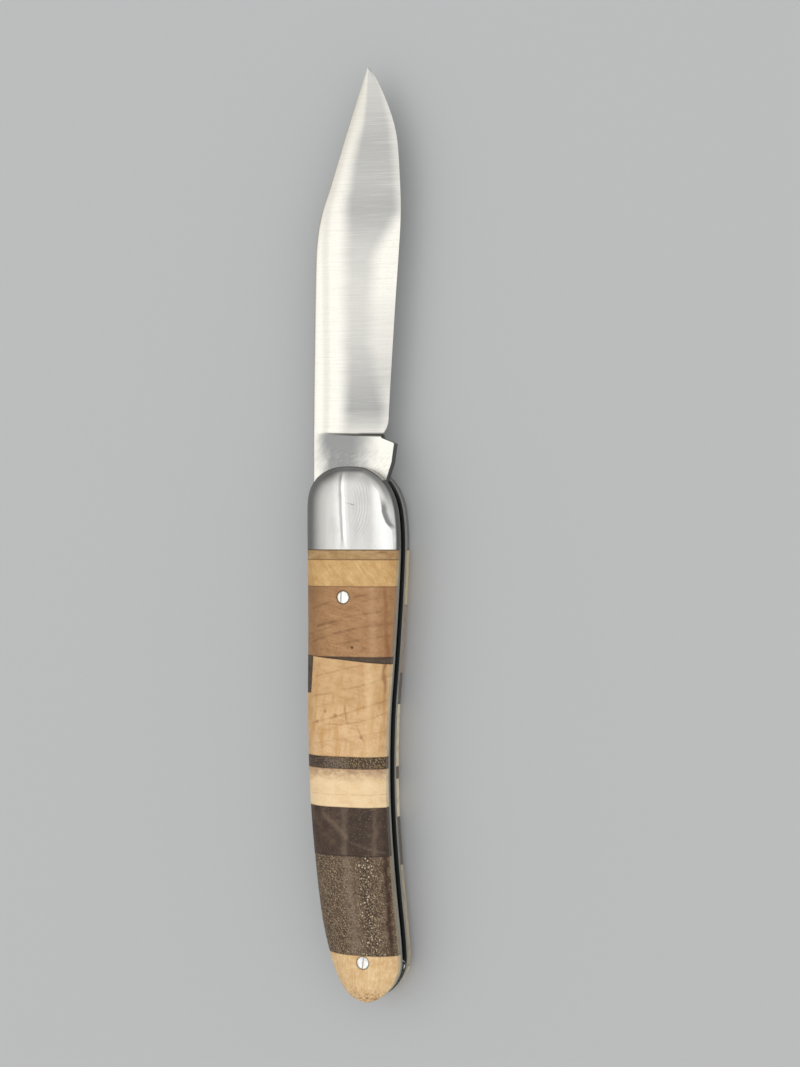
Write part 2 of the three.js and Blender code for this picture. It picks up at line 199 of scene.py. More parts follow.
def nearest(points, chain, closed):
    """Nearest places on a chain of straight lines, with the distance and the line's number."""
    start = chain if closed else chain[:-1]
    step = (np.roll(chain, -1, 0) if closed else chain[1:]) - start
    offset = points[:, None, :] - start[None]
    share = np.clip((offset * step).sum(2) / (step * step).sum(1), 0, 1)
    place = start[None] + share[..., None] * step[None]
    distance = np.linalg.norm(points[:, None, :] - place, axis=2)
    number = distance.argmin(1)
    rows = np.arange(len(points))
    return place[rows, number], distance[rows, number], number


def side_height(points):
    """Height of a side's surface above its liner."""
    _, distance, number = nearest(points, OUTLINE, True)
    back = np.clip(INWARD[number, 0], 0, 1)
    crease = 1 - (1 - BACK_CREASE) * back
    rise = RISE - CROWN
    radius = (INSET ** 2 + rise ** 2) / (2 * rise)

    def arc(reach):
        return rise - radius + np.sqrt(radius ** 2 - (INSET - reach) ** 2)

    rounding = rise * arc(np.clip(distance, 0, INSET) * crease) / arc(INSET * crease)
    crown = 1 - (1 - np.clip(distance / CROWN_INSET, 0, 1)) ** 2
    return RIM + rounding + CROWN * crown


def surface_z(x, y, side):
    """Height of the handle's outer surface above the plane that the knife lies on."""
    return MIDDLE + side * (LINER_OUTER + float(side_height(np.array([[x, y]]))[0]))


def new_mesh(name, points, faces):
    mesh = bpy.data.meshes.new(name)
    mesh.from_pydata([Vector(p) * MM for p in points], [], faces)
    return mesh


def new_object(name, data):
    made = bpy.data.objects.new(name, data)
    bpy.context.scene.collection.objects.link(made)
    return made


@contextmanager
def editing(mesh):
    """Opens a mesh for editing and writes the changes back to it."""
    bm = bmesh.new()
    bm.from_mesh(mesh)
    yield bm
    bm.to_mesh(mesh)
    bm.free()


def evaluated(made):
    """Mesh of an object as its modifiers or its curve settings leave it."""
    bpy.context.view_layer.update()
    graph = bpy.context.evaluated_depsgraph_get()
    return bpy.data.meshes.new_from_object(made.evaluated_get(graph))


def cut(made, cutter):
    """Cuts an object with a mesh."""
    tool = new_object("cutter", cutter)
    modifier = made.modifiers.new("cut", "BOOLEAN")
    modifier.operation = "DIFFERENCE"
    modifier.solver = "EXACT"
    modifier.object = tool
    made.data = evaluated(made)
    made.modifiers.clear()
    bpy.data.objects.remove(tool)


def finished(made, node, material, sharp=40, body="handle"):
    """Seats a finished piece in place of its CAD node. Turns past an angle stay sharp in its shading."""
    made.data.shade_smooth()
    made.data.set_sharp_from_angle(angle=math.radians(sharp))
    made.name = made.data.name = "fine_" + node
    made.data.materials.clear()
    made.data.materials.append(material)
    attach(made, body)
    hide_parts(node)


def capped(rings):
    """Closed solid through rings of equal count, from its lower end to its upper one."""
    count = len(rings[0])
    faces = []
    for base in range(0, (len(rings) - 1) * count, count):
        for i in range(count):
            a, b = base + i, base + (i + 1) % count
            faces.append((a, b, b + count, a + count))
    last = (len(rings) - 1) * count
    faces.append(tuple(reversed(range(count))))
    faces.append(tuple(range(last, last + count)))
    return [tuple(p) for ring in rings for p in ring], faces


def split_large(bm):
    """Triangles for all faces of more than four corners."""
    bmesh.ops.triangulate(bm, faces=[f for f in bm.faces if len(f.verts) > 4])


def handle_side(side):
    """Mesh of one whole side outside its liner: bolster and scale in one."""
    middle, _, _ = nearest(OUTLINE + INWARD * NORMAL_INSET, MIDDLE_LINE, False)
    shoulder = OUTLINE + INWARD * NORMAL_INSET
    reach = np.linalg.norm(middle - shoulder, axis=1)[:, None]

    def inset(amount):
        if amount <= NORMAL_INSET:
            return OUTLINE + INWARD * amount
        beyond = np.minimum(amount - NORMAL_INSET, MIDDLE_SHARE * reach)
        return shoulder + (middle - shoulder) / reach * beyond

    shares = [k / ROUNDING_STEPS for k in range(1, ROUNDING_STEPS + 1)]
    flat = [inset(INSET * share) for share in shares]
    rounded = flat[-1]
    flat += [rounded + (middle - rounded) * share for share in CROWN_SHARES]
    rings = [(inset(RIM_BREAK), 0.0), (OUTLINE, RIM_BREAK), (OUTLINE, RIM)]
    rings += [(ring, side_height(ring)) for ring in flat]
    solid = []
    for ring, height in rings:
        z = MIDDLE + side * (LINER_OUTER + np.broadcast_to(height, len(ring)))
        solid.append(np.column_stack([ring, z]))
    points, faces = capped(solid)
    if side < 0:
        faces = [tuple(reversed(face)) for face in faces]
    mesh = new_mesh("side", points, faces)
    with editing(mesh) as bm:
        bmesh.ops.remove_doubles(bm, verts=bm.verts, dist=SIDE_WELD * MM)
        split_large(bm)
    return mesh


def sliced(mesh, planes):
    """Copy of a closed mesh cut by planes, each with the side it loses in front of it."""
    part = mesh.copy()
    with editing(part) as bm:
        for place, normal in planes:
            geometry = bm.verts[:] + bm.edges[:] + bm.faces[:]
            cut_at = {"plane_co": Vector(place) * MM, "plane_no": normal, "dist": WELD * MM}
            bmesh.ops.bisect_plane(bm, geom=geometry, clear_outer=True, **cut_at)
            bmesh.ops.holes_fill(bm, edges=[e for e in bm.edges if e.is_boundary], sides=0)
            split_large(bm)
    return part


def circle(x, y, radius, sides=48):
    """Points of a level circle."""
    angles = [2 * math.pi * k / sides for k in range(sides)]
    return [(x + radius * math.cos(a), y + radius * math.sin(a)) for a in angles]


def turned(profile, x, y, sides=48):
    """Solid of revolution about an upright line, through (radius, height) pairs."""
    rings = [[(*place, z) for place in circle(x, y, radius, sides)] for radius, z in profile]
    return new_mesh("turned", *capped(rings))


def plate(loops, low, high, bevel):
    """Flat plate with small bevels, from an outline and the outlines of its holes."""
    curve = bpy.data.curves.new("plate", "CURVE")
    curve.dimensions = "2D"
    curve.fill_mode = "BOTH"
    curve.bevel_depth = bevel * MM
    curve.bevel_resolution = 1
    curve.offset = -bevel * MM
    curve.extrude = ((high - low) / 2 - bevel) * MM
    for loop in loops:
        spline = curve.splines.new("POLY")
        spline.points.add(len(loop) - 1)
        for point, (x, y) in zip(spline.points, loop):
            point.co = (x * MM, y * MM, 0, 1)
        spline.use_cyclic_u = True
    made = new_object("plate", curve)
    mesh = evaluated(made)
    mesh.transform(Matrix.Translation((0, 0, (low + high) / 2 * MM)))
    bpy.data.objects.remove(made)
    with editing(mesh) as bm:
        bmesh.ops.remove_doubles(bm, verts=bm.verts, dist=WELD * MM)
        bmesh.ops.recalc_face_normals(bm, faces=bm.faces)
    return mesh


# Pins

def pin_place(node):
    """Middle of a pin as seen from above, its radius and the heights of its ends."""
    low, high = box(node)
    return (low.x + high.x) / 2, (low.y + high.y) / 2, (high.x - low.x) / 2, low.z, high.z


PIN_NODES = ("pivot_pin", "rear_pin", "upper_front_pin", "lower_front_pin", "spring_pin")
PINS = {name: pin_place(name) for name in PIN_NODES}


def pin_solid(node):
    """Rod of a pin, with a low dome on each end that shows."""
    x, y, radius, low, high = PINS[node]
    profile = []
    for z, side in ((low, -1), (high, 1)):
        end = []
        if abs(z - MIDDLE) > LINER_OUTER + WELD:
            top = surface_z(x, y, side) - side * PIN_DROP
            for share in DOME_SHARES:
                fall = PIN_DOME * share ** 2 + (PIN_RIM if share == 1.0 else 0)
                fall *= FLUSH if node == "pivot_pin" else 1
                end.append((radius * share, top - side * fall))
        else:
            end = [(0.02, z), (radius, z)]
        profile += end if side < 0 else end[::-1]
    return turned(profile, x, y)


# Blade

def blade_stations():
    """Places along the blade with the back's and the edge's x, from the CAD blade."""
    co = np.array([v.co for v in frame["nodes"]["blade"].data.vertices]) / MM
    on_edge = co[np.abs(co[:, 2] - MIDDLE) < WELD * 10]
    rows = []
    for y in sorted({round(float(p[1]), 3) for p in on_edge if p[1] > PLUNGE + 0.05}):
        here = co[np.abs(co[:, 1] - y) < WELD * 20]
        rows.append((y, here[:, 0].min(), here[:, 0].max()))
    return np.array(rows)


tang_loop, hole_loop = flat_loops("blade", blade_high.z)[:2]
PLUNGE = tang_loop[:, 1].max()
PLUNGE_ENDS = tang_loop[tang_loop[:, 1] > PLUNGE - WELD][:, 0]
STATIONS = np.vstack([(PLUNGE, PLUNGE_ENDS.min(), PLUNGE_ENDS.max()), blade_stations()])
HOLE_RADIUS = np.linalg.norm(hole_loop, axis=1).max()
BLADE_END = STATIONS[-1, 0]


def hermite(y, places, values):
    """Smooth curve through values at rising places, level beyond its ends."""
    y = np.asarray(y, float)
    slopes = np.gradient(values, places)
    i = np.clip(np.searchsorted(places, y) - 1, 0, len(places) - 2)
    span = places[i + 1] - places[i]
    t = np.clip((y - places[i]) / span, 0, 1)
    first = (1 + 2 * t) * (1 - t) ** 2 * values[i] + t * (1 - t) ** 2 * span * slopes[i]
    second = t * t * (3 - 2 * t) * values[i + 1] + t * t * (t - 1) * span * slopes[i + 1]
    return first + second


def back_at(y):
    return hermite(y, STATIONS[:, 0], STATIONS[:, 1])


def edge_at(y):
    return hermite(y, STATIONS[:, 0], STATIONS[:, 2])


def smooth(t):
    """Smooth step from 0 to 1."""
    t = np.clip(t, 0, 1)
    return t * t * (3 - 2 * t)


def land_at(y):
    return np.minimum(LAND, LAND_SHARE * (edge_at(y) - back_at(y)))


def bevel_at(y):
    return np.minimum(BEVEL, BEVEL_SHARE * (edge_at(y) - back_at(y)))


def plunge_at(x):
    """Distance from the pivot to the plunge line, which falls towards the edge."""
    share = (np.asarray(x, float) - PLUNGE_BACK) / PLUNGE_SPAN
    return PLUNGE + PLUNGE_RISE * (1 - 2 * share)


def blade_half(x, y):
    """Half of the blade's thickness at points on its outline and inside it."""
    x, y = np.asarray(x, float), np.asarray(y, float)
    back, edge = back_at(y), edge_at(y)
    full = EDGE_HALF + (BLADE_HALF - EDGE_HALF) * np.minimum(1, (edge - back) / TAPER_WIDTH)
    above = np.clip(y - plunge_at(x), 0, PLUNGE_CORNER)
    corner = PLUNGE_CORNER - np.sqrt(PLUNGE_CORNER ** 2 - (PLUNGE_CORNER - above) ** 2)
    start = back + land_at(y) + corner
    end = edge - bevel_at(y)
    span = np.maximum(end - start, 0.01)
    s = np.clip((end - x) / span, 0, 1)
    ground = EDGE_HALF + (full - EDGE_HALF) * s - span ** 2 / (2 * GRIND_RADIUS) * s * (1 - s)
    bevelled = EDGE_HALF * np.clip((edge - x) / (edge - end), 0, 1)
    ground = np.where(x > end, bevelled, ground)
    wall = smooth((y - plunge_at(x)) / PLUNGE_WALL)
    half = BLADE_HALF + (ground - BLADE_HALF) * wall
    across = np.clip((x - back) / np.minimum(BACK_ROUND, land_at(y)), 0, 1)
    rounded = BACK_DROP * full / BLADE_HALF * (1 - np.sqrt(1 - (1 - across) ** 2))
    shoulder = tang_loop[tang_loop[:, 0] < BACK_SIDE][:, 1].min()
    return half - np.where(y > shoulder - WELD, rounded, 0)


# Net of the blade: its rows close to the plunge line, and its columns as shares of land, hollow and bevel
NET_ROWS = (-0.04, 0.0, 0.05, 0.1, 0.15, 0.2, 0.26, 0.32, 0.38, 0.44, 0.65, 0.9, 1.2, 1.6, 2.2, 3.0)
LAND_COLUMNS = (0.06, 0.2, 0.45, 0.75, 1.0)
HOLLOW_COLUMNS = (0.012, *np.linspace(0.04, 0.96, 13), 0.99, 1.0)
BEVEL_COLUMNS = (0.08, 0.5)
CLOSE_COUNT = 13  # outline points in the stretch that those rows take
FAR_COUNT = 83  # and from there to the tip, closer together towards it
TIP_POWER = 1.3
TILT_FADE = 4.0  # above the plunge line the rows lose its slant over this length
ROW_FALL = 0.6  # how far under it a row may reach


def blade_row(level):
    """Places of a row from the back to the edge, slanted like the plunge line when close to it."""
    back, edge, land, bevel = (float(f(level)) for f in (back_at, edge_at, land_at, bevel_at))
    start, end = back + land, edge - bevel
    xs = [back + land * s for s in LAND_COLUMNS] + [start + (end - start) * s for s in HOLLOW_COLUMNS]
    xs += [end + bevel * s for s in BEVEL_COLUMNS]
    fade = max(0.0, 1 - max(0.0, level - PLUNGE) / TILT_FADE)
    return [(x, level + (float(plunge_at(x)) - PLUNGE) * fade) for x in xs]


def blade_net():
    """Points and triangles between the blade's outline and the pivot's hole, as seen from above."""
    verts, edges = [], []

    def chain(points, closed=False):
        first, number = len(verts), len(points)
        verts.extend(Vector((float(x), float(y))) for x, y in points)
        edges.extend((first + i, first + (i + 1) % number) for i in range(number if closed else number - 1))

    tang = [tuple(p) for p in tang_loop]
    top = max(range(len(tang)), key=lambda i: (round(tang[i][1], 3), -tang[i][0]))
    low_tang = [p for p in tang[top:] + tang[:top] if p[1] < PLUNGE - 0.02]
    stretch = PLUNGE + NET_ROWS[-1]
    to_tip = 1 - (1 - np.linspace(0, 1, FAR_COUNT + 1)[1:]) ** TIP_POWER
    far = stretch + (BLADE_END - PLUNGE - NET_ROWS[-1]) * to_tip
    rising = np.concatenate([np.linspace(PLUNGE, stretch, CLOSE_COUNT), far])
    back_line = [(float(back_at(y)), y) for y in rising]
    edge_line = [(float(edge_at(y)), y) for y in rising]
    chain(low_tang + edge_line + back_line[::-1], closed=True)
    chain(circle(0, 0, HOLE_RADIUS), closed=True)
    for level in [PLUNGE + row for row in NET_ROWS] + list(far[:-1]):
        chain([p for p in blade_row(level) if p[1] > PLUNGE - ROW_FALL])

    # The columns of the rounded back run on along the tang
    for share in LAND_COLUMNS:
        chain([(float(back_at(y)) + LAND * share, y) for y in np.linspace(2.0, PLUNGE - 0.4, 8)])
    found, _, triangles, *_ = delaunay_2d_cdt(verts, edges, [], 1, WELD)
    xy = np.array([tuple(p) for p in found])
    return xy, [t for t in triangles if np.linalg.norm(xy[list(t)].mean(0)) > HOLE_RADIUS]


def blade_mesh():
    """The whole blade: tang, flat and grind, with both faces from one net of points."""
    xy, triangles = blade_net()
    half = blade_half(xy[:, 0], xy[:, 1])
    count = len(xy)
    sides = dict.fromkeys((a, b) for t in triangles for a, b in zip(t, t[1:] + t[:1]))
    rim = [(a, b) for a, b in sides if (b, a) not in sides]
    for i in {i for pair in rim for i in pair}:
        x, y = xy[i]
        if y > PLUNGE + SHARP_START and x > edge_at(y) - 0.02:
            half[i] = 0.0
        elif x >= BACK_SIDE:
            half[i] = max(half[i] - CORNER_BREAK, 0.1)
    points = [(x, y, MIDDLE + h) for (x, y), h in zip(xy, half)]
    points += [(x, y, MIDDLE - h) for (x, y), h in zip(xy, half)]
    faces = [tuple(t) for t in triangles] + [tuple(i + count for i in reversed(t)) for t in triangles]
    faces += [(b, a, a + count, b + count) for a, b in rim]
    mesh = new_mesh("blade", points, faces)
    with editing(mesh) as bm:
        bmesh.ops.remove_doubles(bm, verts=bm.verts, dist=0.002 * MM)
        bmesh.ops.dissolve_degenerate(bm, edges=bm.edges, dist=0.001 * MM)
        bmesh.ops.delete(bm, geom=[v for v in bm.verts if not v.link_faces], context="VERTS")
        bmesh.ops.recalc_face_normals(bm, faces=bm.faces)
    return mesh


def blade_uv(mesh):
    """Lays out the blade's map: across it as a share of its width, and along it in tenths of a metre."""
    layer = mesh.uv_layers.new(name="brushing")
    co = np.array([v.co for v in mesh.vertices]) / MM
    back, edge = back_at(co[:, 1]), edge_at(co[:, 1])
    across = (co[:, 0] - back) / np.maximum(edge - back, 0.5)
    for loop in mesh.loops:
        y = co[loop.vertex_index, 1]
        layer.data[loop.index].uv = (across[loop.vertex_index], y / 100)


def nick_cutter():
    """Disc that leaves a crescent for the fingernail in the lower face."""
    y = BLADE_END - NICK_FROM_TIP
    place = Vector((float(back_at(y)) + NICK_FROM_BACK, y, MIDDLE - BLADE_HALF))
    sink = Vector((0, NICK_DEPTH - NICK_RADIUS, 0))
    mesh = turned([(NICK_RADIUS, -NICK_WIDTH / 2), (NICK_RADIUS, NICK_WIDTH / 2)], 0, 0, 220)
    turns = ((NICK_LEAN, "Y"), (math.pi / 2, "Z"), (math.pi / 2, "X"))
    lean, upright, flat = (Matrix.Rotation(angle, 4, axis) for angle, axis in turns)
    mesh.transform(
        Matrix.Translation(place * MM) @ (lean @ upright @ flat) @ Matrix.Translation(sink * MM)
    )
    return mesh


# Materials

def srgb(red, green, blue):
    """Linear colour of a colour as a screen shows it, from 0 to 255."""

    def linear(value):
        value /= 255
        return value / 12.92 if value <= 0.04045 else ((value + 0.055) / 1.055) ** 2.4

    return linear(red), linear(green), linear(blue), 1.0


class Value:
    """A number that varies over a surface or the sky, from a node, which plain sums can take."""

    def __init__(self, painter, socket):
        self.painter, self.socket = painter, socket

    def __add__(self, other):
        return self.painter.math("ADD", self, other)

    def __sub__(self, other):
        return self.painter.math("SUBTRACT", self, other)

    def __rsub__(self, other):
        return self.painter.math("SUBTRACT", other, self)

    def __mul__(self, other):
        return self.painter.math("MULTIPLY", self, other)

    def __abs__(self):
        return self.painter.math("ABSOLUTE", self)

    __radd__ = __add__
    __rmul__ = __mul__


class Painter:
    """Short names for the nodes of a tree."""

    def __init__(self, tree):
        self.tree = tree

    def node(self, kind, **settings):
        made = self.tree.nodes.new(kind)
        for key, value in settings.items():
            setattr(made, key, value)
        return made

    def feed(self, value, socket):
        if isinstance(value, Value):
            value = value.socket
        if isinstance(value, bpy.types.NodeSocket):
            self.tree.links.new(value, socket)
        else:
            socket.default_value = value

    def math(self, operation, *values):
        made = self.node("ShaderNodeMath", operation=operation)
        for value, socket in zip(values, made.inputs):
            self.feed(value, socket)
        return Value(self, made.outputs[0])

    def fade(self, value, start, end):
        """Smooth step of a value or an axis, from 0 at start to 1 at end."""
        made = self.node("ShaderNodeMapRange", interpolation_type="SMOOTHSTEP")
        for name, given in (("Value", self.axis(value)), ("From Min", start), ("From Max", end)):
            self.feed(given, made.inputs[name])
        return Value(self, made.outputs[0])

    def axis(self, value):
        """An axis by its letter, or the value itself."""
        return getattr(self, value) if isinstance(value, str) else value

    def product(self, *masks):
        """All masks multiplied. A mask is a value, or a value with the two ends of a fade."""
        shares = [self.fade(*mask) if isinstance(mask, tuple) else mask for mask in masks]
        return math.prod(shares[1:], start=shares[0])

    def split(self, vector):
        made = self.node("ShaderNodeSeparateXYZ")
        self.feed(vector, made.inputs[0])
        return [Value(self, socket) for socket in made.outputs]

    def ramp(self, value, stops):
        """Strength by a value or an axis, from pairs of a place and its strength, at rising places."""
        first, last = stops[0][0], stops[-1][0]
        made = self.node("ShaderNodeValToRGB")
        elements = made.color_ramp.elements
        for number, (place, strength) in enumerate(stops):
            share = (place - first) / (last - first)
            if number in (0, len(stops) - 1):
                stop = elements[0 if number == 0 else -1]
            else:
                stop = elements.new(share)
            stop.position = share
            stop.color = (strength, strength, strength, 1)
        self.feed((self.axis(value) - first) * (1 / (last - first)), made.inputs[0])
        return Value(self, made.outputs[0])


class Finish(Painter):
    """One material and what paints it. Places are in millimetres, colours as a screen shows them."""

    def __init__(self, name, color, roughness, metallic=0.0, **sockets):
        self.material = bpy.data.materials.new(name)
        self.material.use_nodes = True
        super().__init__(self.material.node_tree)
        self.shader = self.tree.nodes["Principled BSDF"]
        values = {"Roughness": roughness, "Metallic": metallic, **sockets}
        for socket, value in values.items():
            self.shader.inputs[socket.replace("_", " ")].default_value = value
        scaled = self.node("ShaderNodeVectorMath", operation="SCALE")
        self.feed(self.node("ShaderNodeTexCoord").outputs["Object"], scaled.inputs[0])
        scaled.inputs["Scale"].default_value = 1 / MM
        self.place = scaled.outputs[0]
        self.x, self.y, self.z = self.split(self.place)
        self.color = srgb(*color)
        self.height = None
        self.shift = 0
        self.shared = {}

    def stretched(self, scale, turn, shift):
        """Places scaled along three axes, after a turn about the upright axis in degrees."""
        shift += self.shift
        made = self.node("ShaderNodeMapping", vector_type="TEXTURE")
        self.feed(self.place, made.inputs["Vector"])
        made.inputs["Rotation"].default_value = (0, 0, math.radians(turn))
        made.inputs["Scale"].default_value = scale
        made.inputs["Location"].default_value = (shift, shift * 0.7, shift * 0.3)
        return made.outputs[0]

    def noise(self, size, turn=0.0, shift=0.0, detail=3.0, rough=0.55, distortion=0.0):
        """Noise whose blobs have that size along three axes."""
        made = self.node("ShaderNodeTexNoise")
        self.feed(self.stretched(size, turn, shift), made.inputs["Vector"])
        values = {"Scale": 1.0, "Detail": detail, "Roughness": rough, "Distortion": distortion}
        for name, value in values.items():
            made.inputs[name].default_value = value
        return Value(self, made.outputs[0])

    def even_noise(self, size):
        """Noise that all lines of a material share, without its shift."""
        if size not in self.shared:
            self.shared[size] = self.noise((size, size, size), shift=size * 7 - self.shift, detail=2.0)
        return self.shared[size]

    def specks(self, size, share, turn=0.0, shift=0.0, chance=0.55):
        """Small spots, each of about a share of its cell, in that part of the cells."""
        made = self.node("ShaderNodeTexVoronoi")
        self.feed(self.stretched(size, turn, shift), made.inputs["Vector"])
        made.inputs["Scale"].default_value = 1.0
        drawn = self.split(made.outputs["Color"])[0]
        chosen = self.math("GREATER_THAN", drawn, 1 - chance)
        return self.fade(Value(self, made.outputs["Distance"]), share, share * 0.5) * chosen

    def paint(self, strength, color, *masks):
        """Lays a colour over what is painted so far, where all masks meet."""
        made = self.node("ShaderNodeMix", data_type="RGBA")
        self.feed(self.product(*masks) * strength, made.inputs["Factor"])
        self.feed(self.color, made.inputs["A"])
        self.feed(srgb(*color), made.inputs["B"])
        self.color = made.outputs["Result"]

    def emboss(self, height, depth):
        """Adds to the bump, with a depth in millimetres."""
        scaled = height * depth
        self.height = scaled if self.height is None else self.height + scaled

    def curve(self, places, width, steep=False, wobble=0.5, wear=0.5, lower=1.0):
        """Worn line through two or more places, its lower or left side wider by a factor.

        A steep line runs along the knife, another one across it.
        """
        places = np.array(places, float)
        runs, strays = (1, 0) if steep else (0, 1)
        along, across = (self.y, self.x) if steep else (self.x, self.y)
        degree = min(2, len(places) - 1)
        middle, *factors = [float(f) for f in np.polyfit(places[:, runs], places[:, strays], degree)]
        for factor in factors:
            middle = along * middle + factor
        middle = (self.even_noise(2.4) - 0.5) * wobble + middle
        away = across - middle
        start, end = sorted(places[[0, -1], runs].tolist())
        ends = (along, start - 0.5, start + 0.7), (along, end + 0.5, end - 0.7)
        worn = self.fade(self.even_noise(1.3), 0.38, 0.6) * wear + (1 - wear)
        return self.product((away, width, 0.0), (away, -width * lower, 0.0), *ends, worn)

    def spot(self, x, y, radius, inner=0.0, z=None):
        """Round soft spot, 1 up to an inner radius, seen from above or, with a height, from the side."""
        across = self.x - x if z is None else self.z - z
        along = self.y - y
        return self.fade(across * across + along * along, radius * radius, inner * inner)

    def off_middle(self):
        """Distance from the knife's middle plane."""
        return abs(self.z - MIDDLE)

    def done(self):
        self.feed(self.color, self.shader.inputs["Base Color"])
        if self.height is not None:
            bump = self.node("ShaderNodeBump")
            bump.inputs["Distance"].default_value = MM
            self.feed(self.height, bump.inputs["Height"])
            self.feed(bump.outputs[0], self.shader.inputs["Normal"])
        return self.material


class Wood(Finish):
    """Polished wood of one block, whose paint is placed from the block's two ends."""

    def __init__(self, node, color):
        super().__init__(node, color, 0.42, Specular_IOR_Level=0.3)
        low, high = box(node)
        self.low, self.high, self.node_name = low.y, high.y, node
        self.shift = sum(ord(letter) * (i + 1) for i, letter in enumerate(node)) % 97

    def grain(self, angle, dark, strength, length=9.0, width=0.35):
        """Fine grain lines with soft wider streaks, at an angle from the knife's length."""
        fine = self.noise((width, length, width), angle, detail=4.0, rough=0.65)
        wide = self.noise((width * 6, length * 2.2, width * 6), angle, 5, detail=2.0)
        self.paint(strength, dark, (fine * 0.6 + wide * 0.4, 0.4, 0.66))
        self.emboss(fine, 0.004)

    def mottle(self, dark, light, strength, size=0.5):
        """Soft clouds and fine dots, darker and lighter than the wood."""
        clouds = self.noise((size * 4, size * 3, size * 4), 0, 2, detail=4.0, rough=0.62)
        self.paint(strength, dark, (clouds, 0.48, 0.68))
        self.paint(strength, light, (clouds, 0.5, 0.32))
        dots = self.noise((size * 0.4, size * 0.5, size * 0.4), 0, 8, rough=0.6)
        self.paint(strength * 0.7, dark, (dots, 0.52, 0.68))
        self.paint(strength * 0.7, light, (dots, 0.48, 0.33))

    def lines(self, lines, end, color, lower=2.0):
        """Growth lines, each as places measured from one end, its width and its strength."""
        for places, width, strength in lines:
            moved = [(x, end + y) for x, y in places]
            self.paint(strength, color, self.curve(moved, width, lower=lower))

    def band(self, top, bottom, width, strength, color, wobble=0.8, wear=0.4):
        """Soft band along the block, through an x at its upper end and an x at its lower end."""
        places = [(bottom, self.low - 2), (top, self.high + 2)]
        self.paint(strength, color, self.curve(places, width, True, wobble, wear))


def tan_wood(wood):
    wood.grain(86, (150, 114, 70), 0.5, 5.0, 0.3)
    wood.mottle((146, 106, 60), (196, 162, 114), 0.5)
    top = wood.fade("y", wood.high - 1.2, wood.high - 0.05)
    smudge = wood.fade(wood.noise((2.6, 0.5, 2.6)), 0.42, 0.62)
    wood.paint(0.85, (104, 72, 38), smudge, top, ("x", 0.6, 2.4), ("x", 7.2, 5.6))
    wood.paint(0.4, (120, 86, 48), smudge, top)


def yellow_wood(wood):
    wood.grain(88, (188, 146, 86), 0.4, 7.0, 0.3)
    sheen = wood.noise((0.9, 4.0, 0.9), 42, rough=0.6, distortion=0.6)
    wood.paint(0.6, (184, 142, 86), (sheen, 0.46, 0.64))
    light = wood.noise((0.8, 3.4, 0.8), 38, 11, distortion=0.5)
    wood.paint(0.6, (226, 192, 136), (light, 0.5, 0.7))
    wood.mottle((180, 136, 78), (220, 184, 126), 0.4, 0.6)
    wood.paint(0.4, (172, 126, 70), ("x", 4.8, 7.6), ("y", wood.high - 3.2, wood.high - 0.6))
    wood.paint(0.4, (184, 140, 82), ("x", -6.5, -9.8))


def cherry_wood(wood):
    wood.grain(76, (132, 88, 54), 0.5, 4.0, 0.24)
    wood.mottle((138, 96, 58), (186, 146, 106), 0.45, 0.55)
    wood.paint(0.4, (134, 96, 60), ("x", -3.0, -9.5), ("y", wood.high - 6.0, wood.high - 1.0))
    wood.paint(0.4, (128, 92, 58), ("x", -4.6, -8.6))
    lines = (
        ([(-9.2, -4.4), (-5.0, -3.1)], 0.3, 0.4),
        ([(-0.4, -1.9), (3.3, -1.5)], 0.26, 0.45),
        ([(-7.9, -7.8), (-3.4, -6.6)], 0.32, 0.65),
        ([(-1.8, -5.9), (5.5, -4.8)], 0.26, 0.45),
        ([(-9.2, -11.0), (-3.1, -9.1), (2.0, -7.7), (8.3, -7.1)], 0.3, 0.42),
        ([(-10.0, -9.4), (-4.0, -7.8)], 0.26, 0.35),
        ([(-4.0, -11.2), (8.2, -9.2)], 0.26, 0.3),
        ([(0.5, -3.1), (8.0, -1.6)], 0.22, 0.25),
    )
    wood.lines(lines, wood.high, (104, 66, 36), 1.6)
    # A painted highlight: soft light band along the block
    wood.band(3.9, 4.1, 1.1, 0.4, (200, 162, 126))
    wood.paint(0.4, (152, 108, 68), ("x", 4.6, 6.6))
    wood.band(6.2, 6.5, 0.6, 0.7, (136, 86, 48), 1.0)
    wood.paint(0.9, (74, 44, 28), wood.spot(-0.15, wood.high - 11.8, 0.42))
    wood.paint(0.3, (118, 74, 44), wood.spot(-1.1, wood.high - 11.4, 1.0))


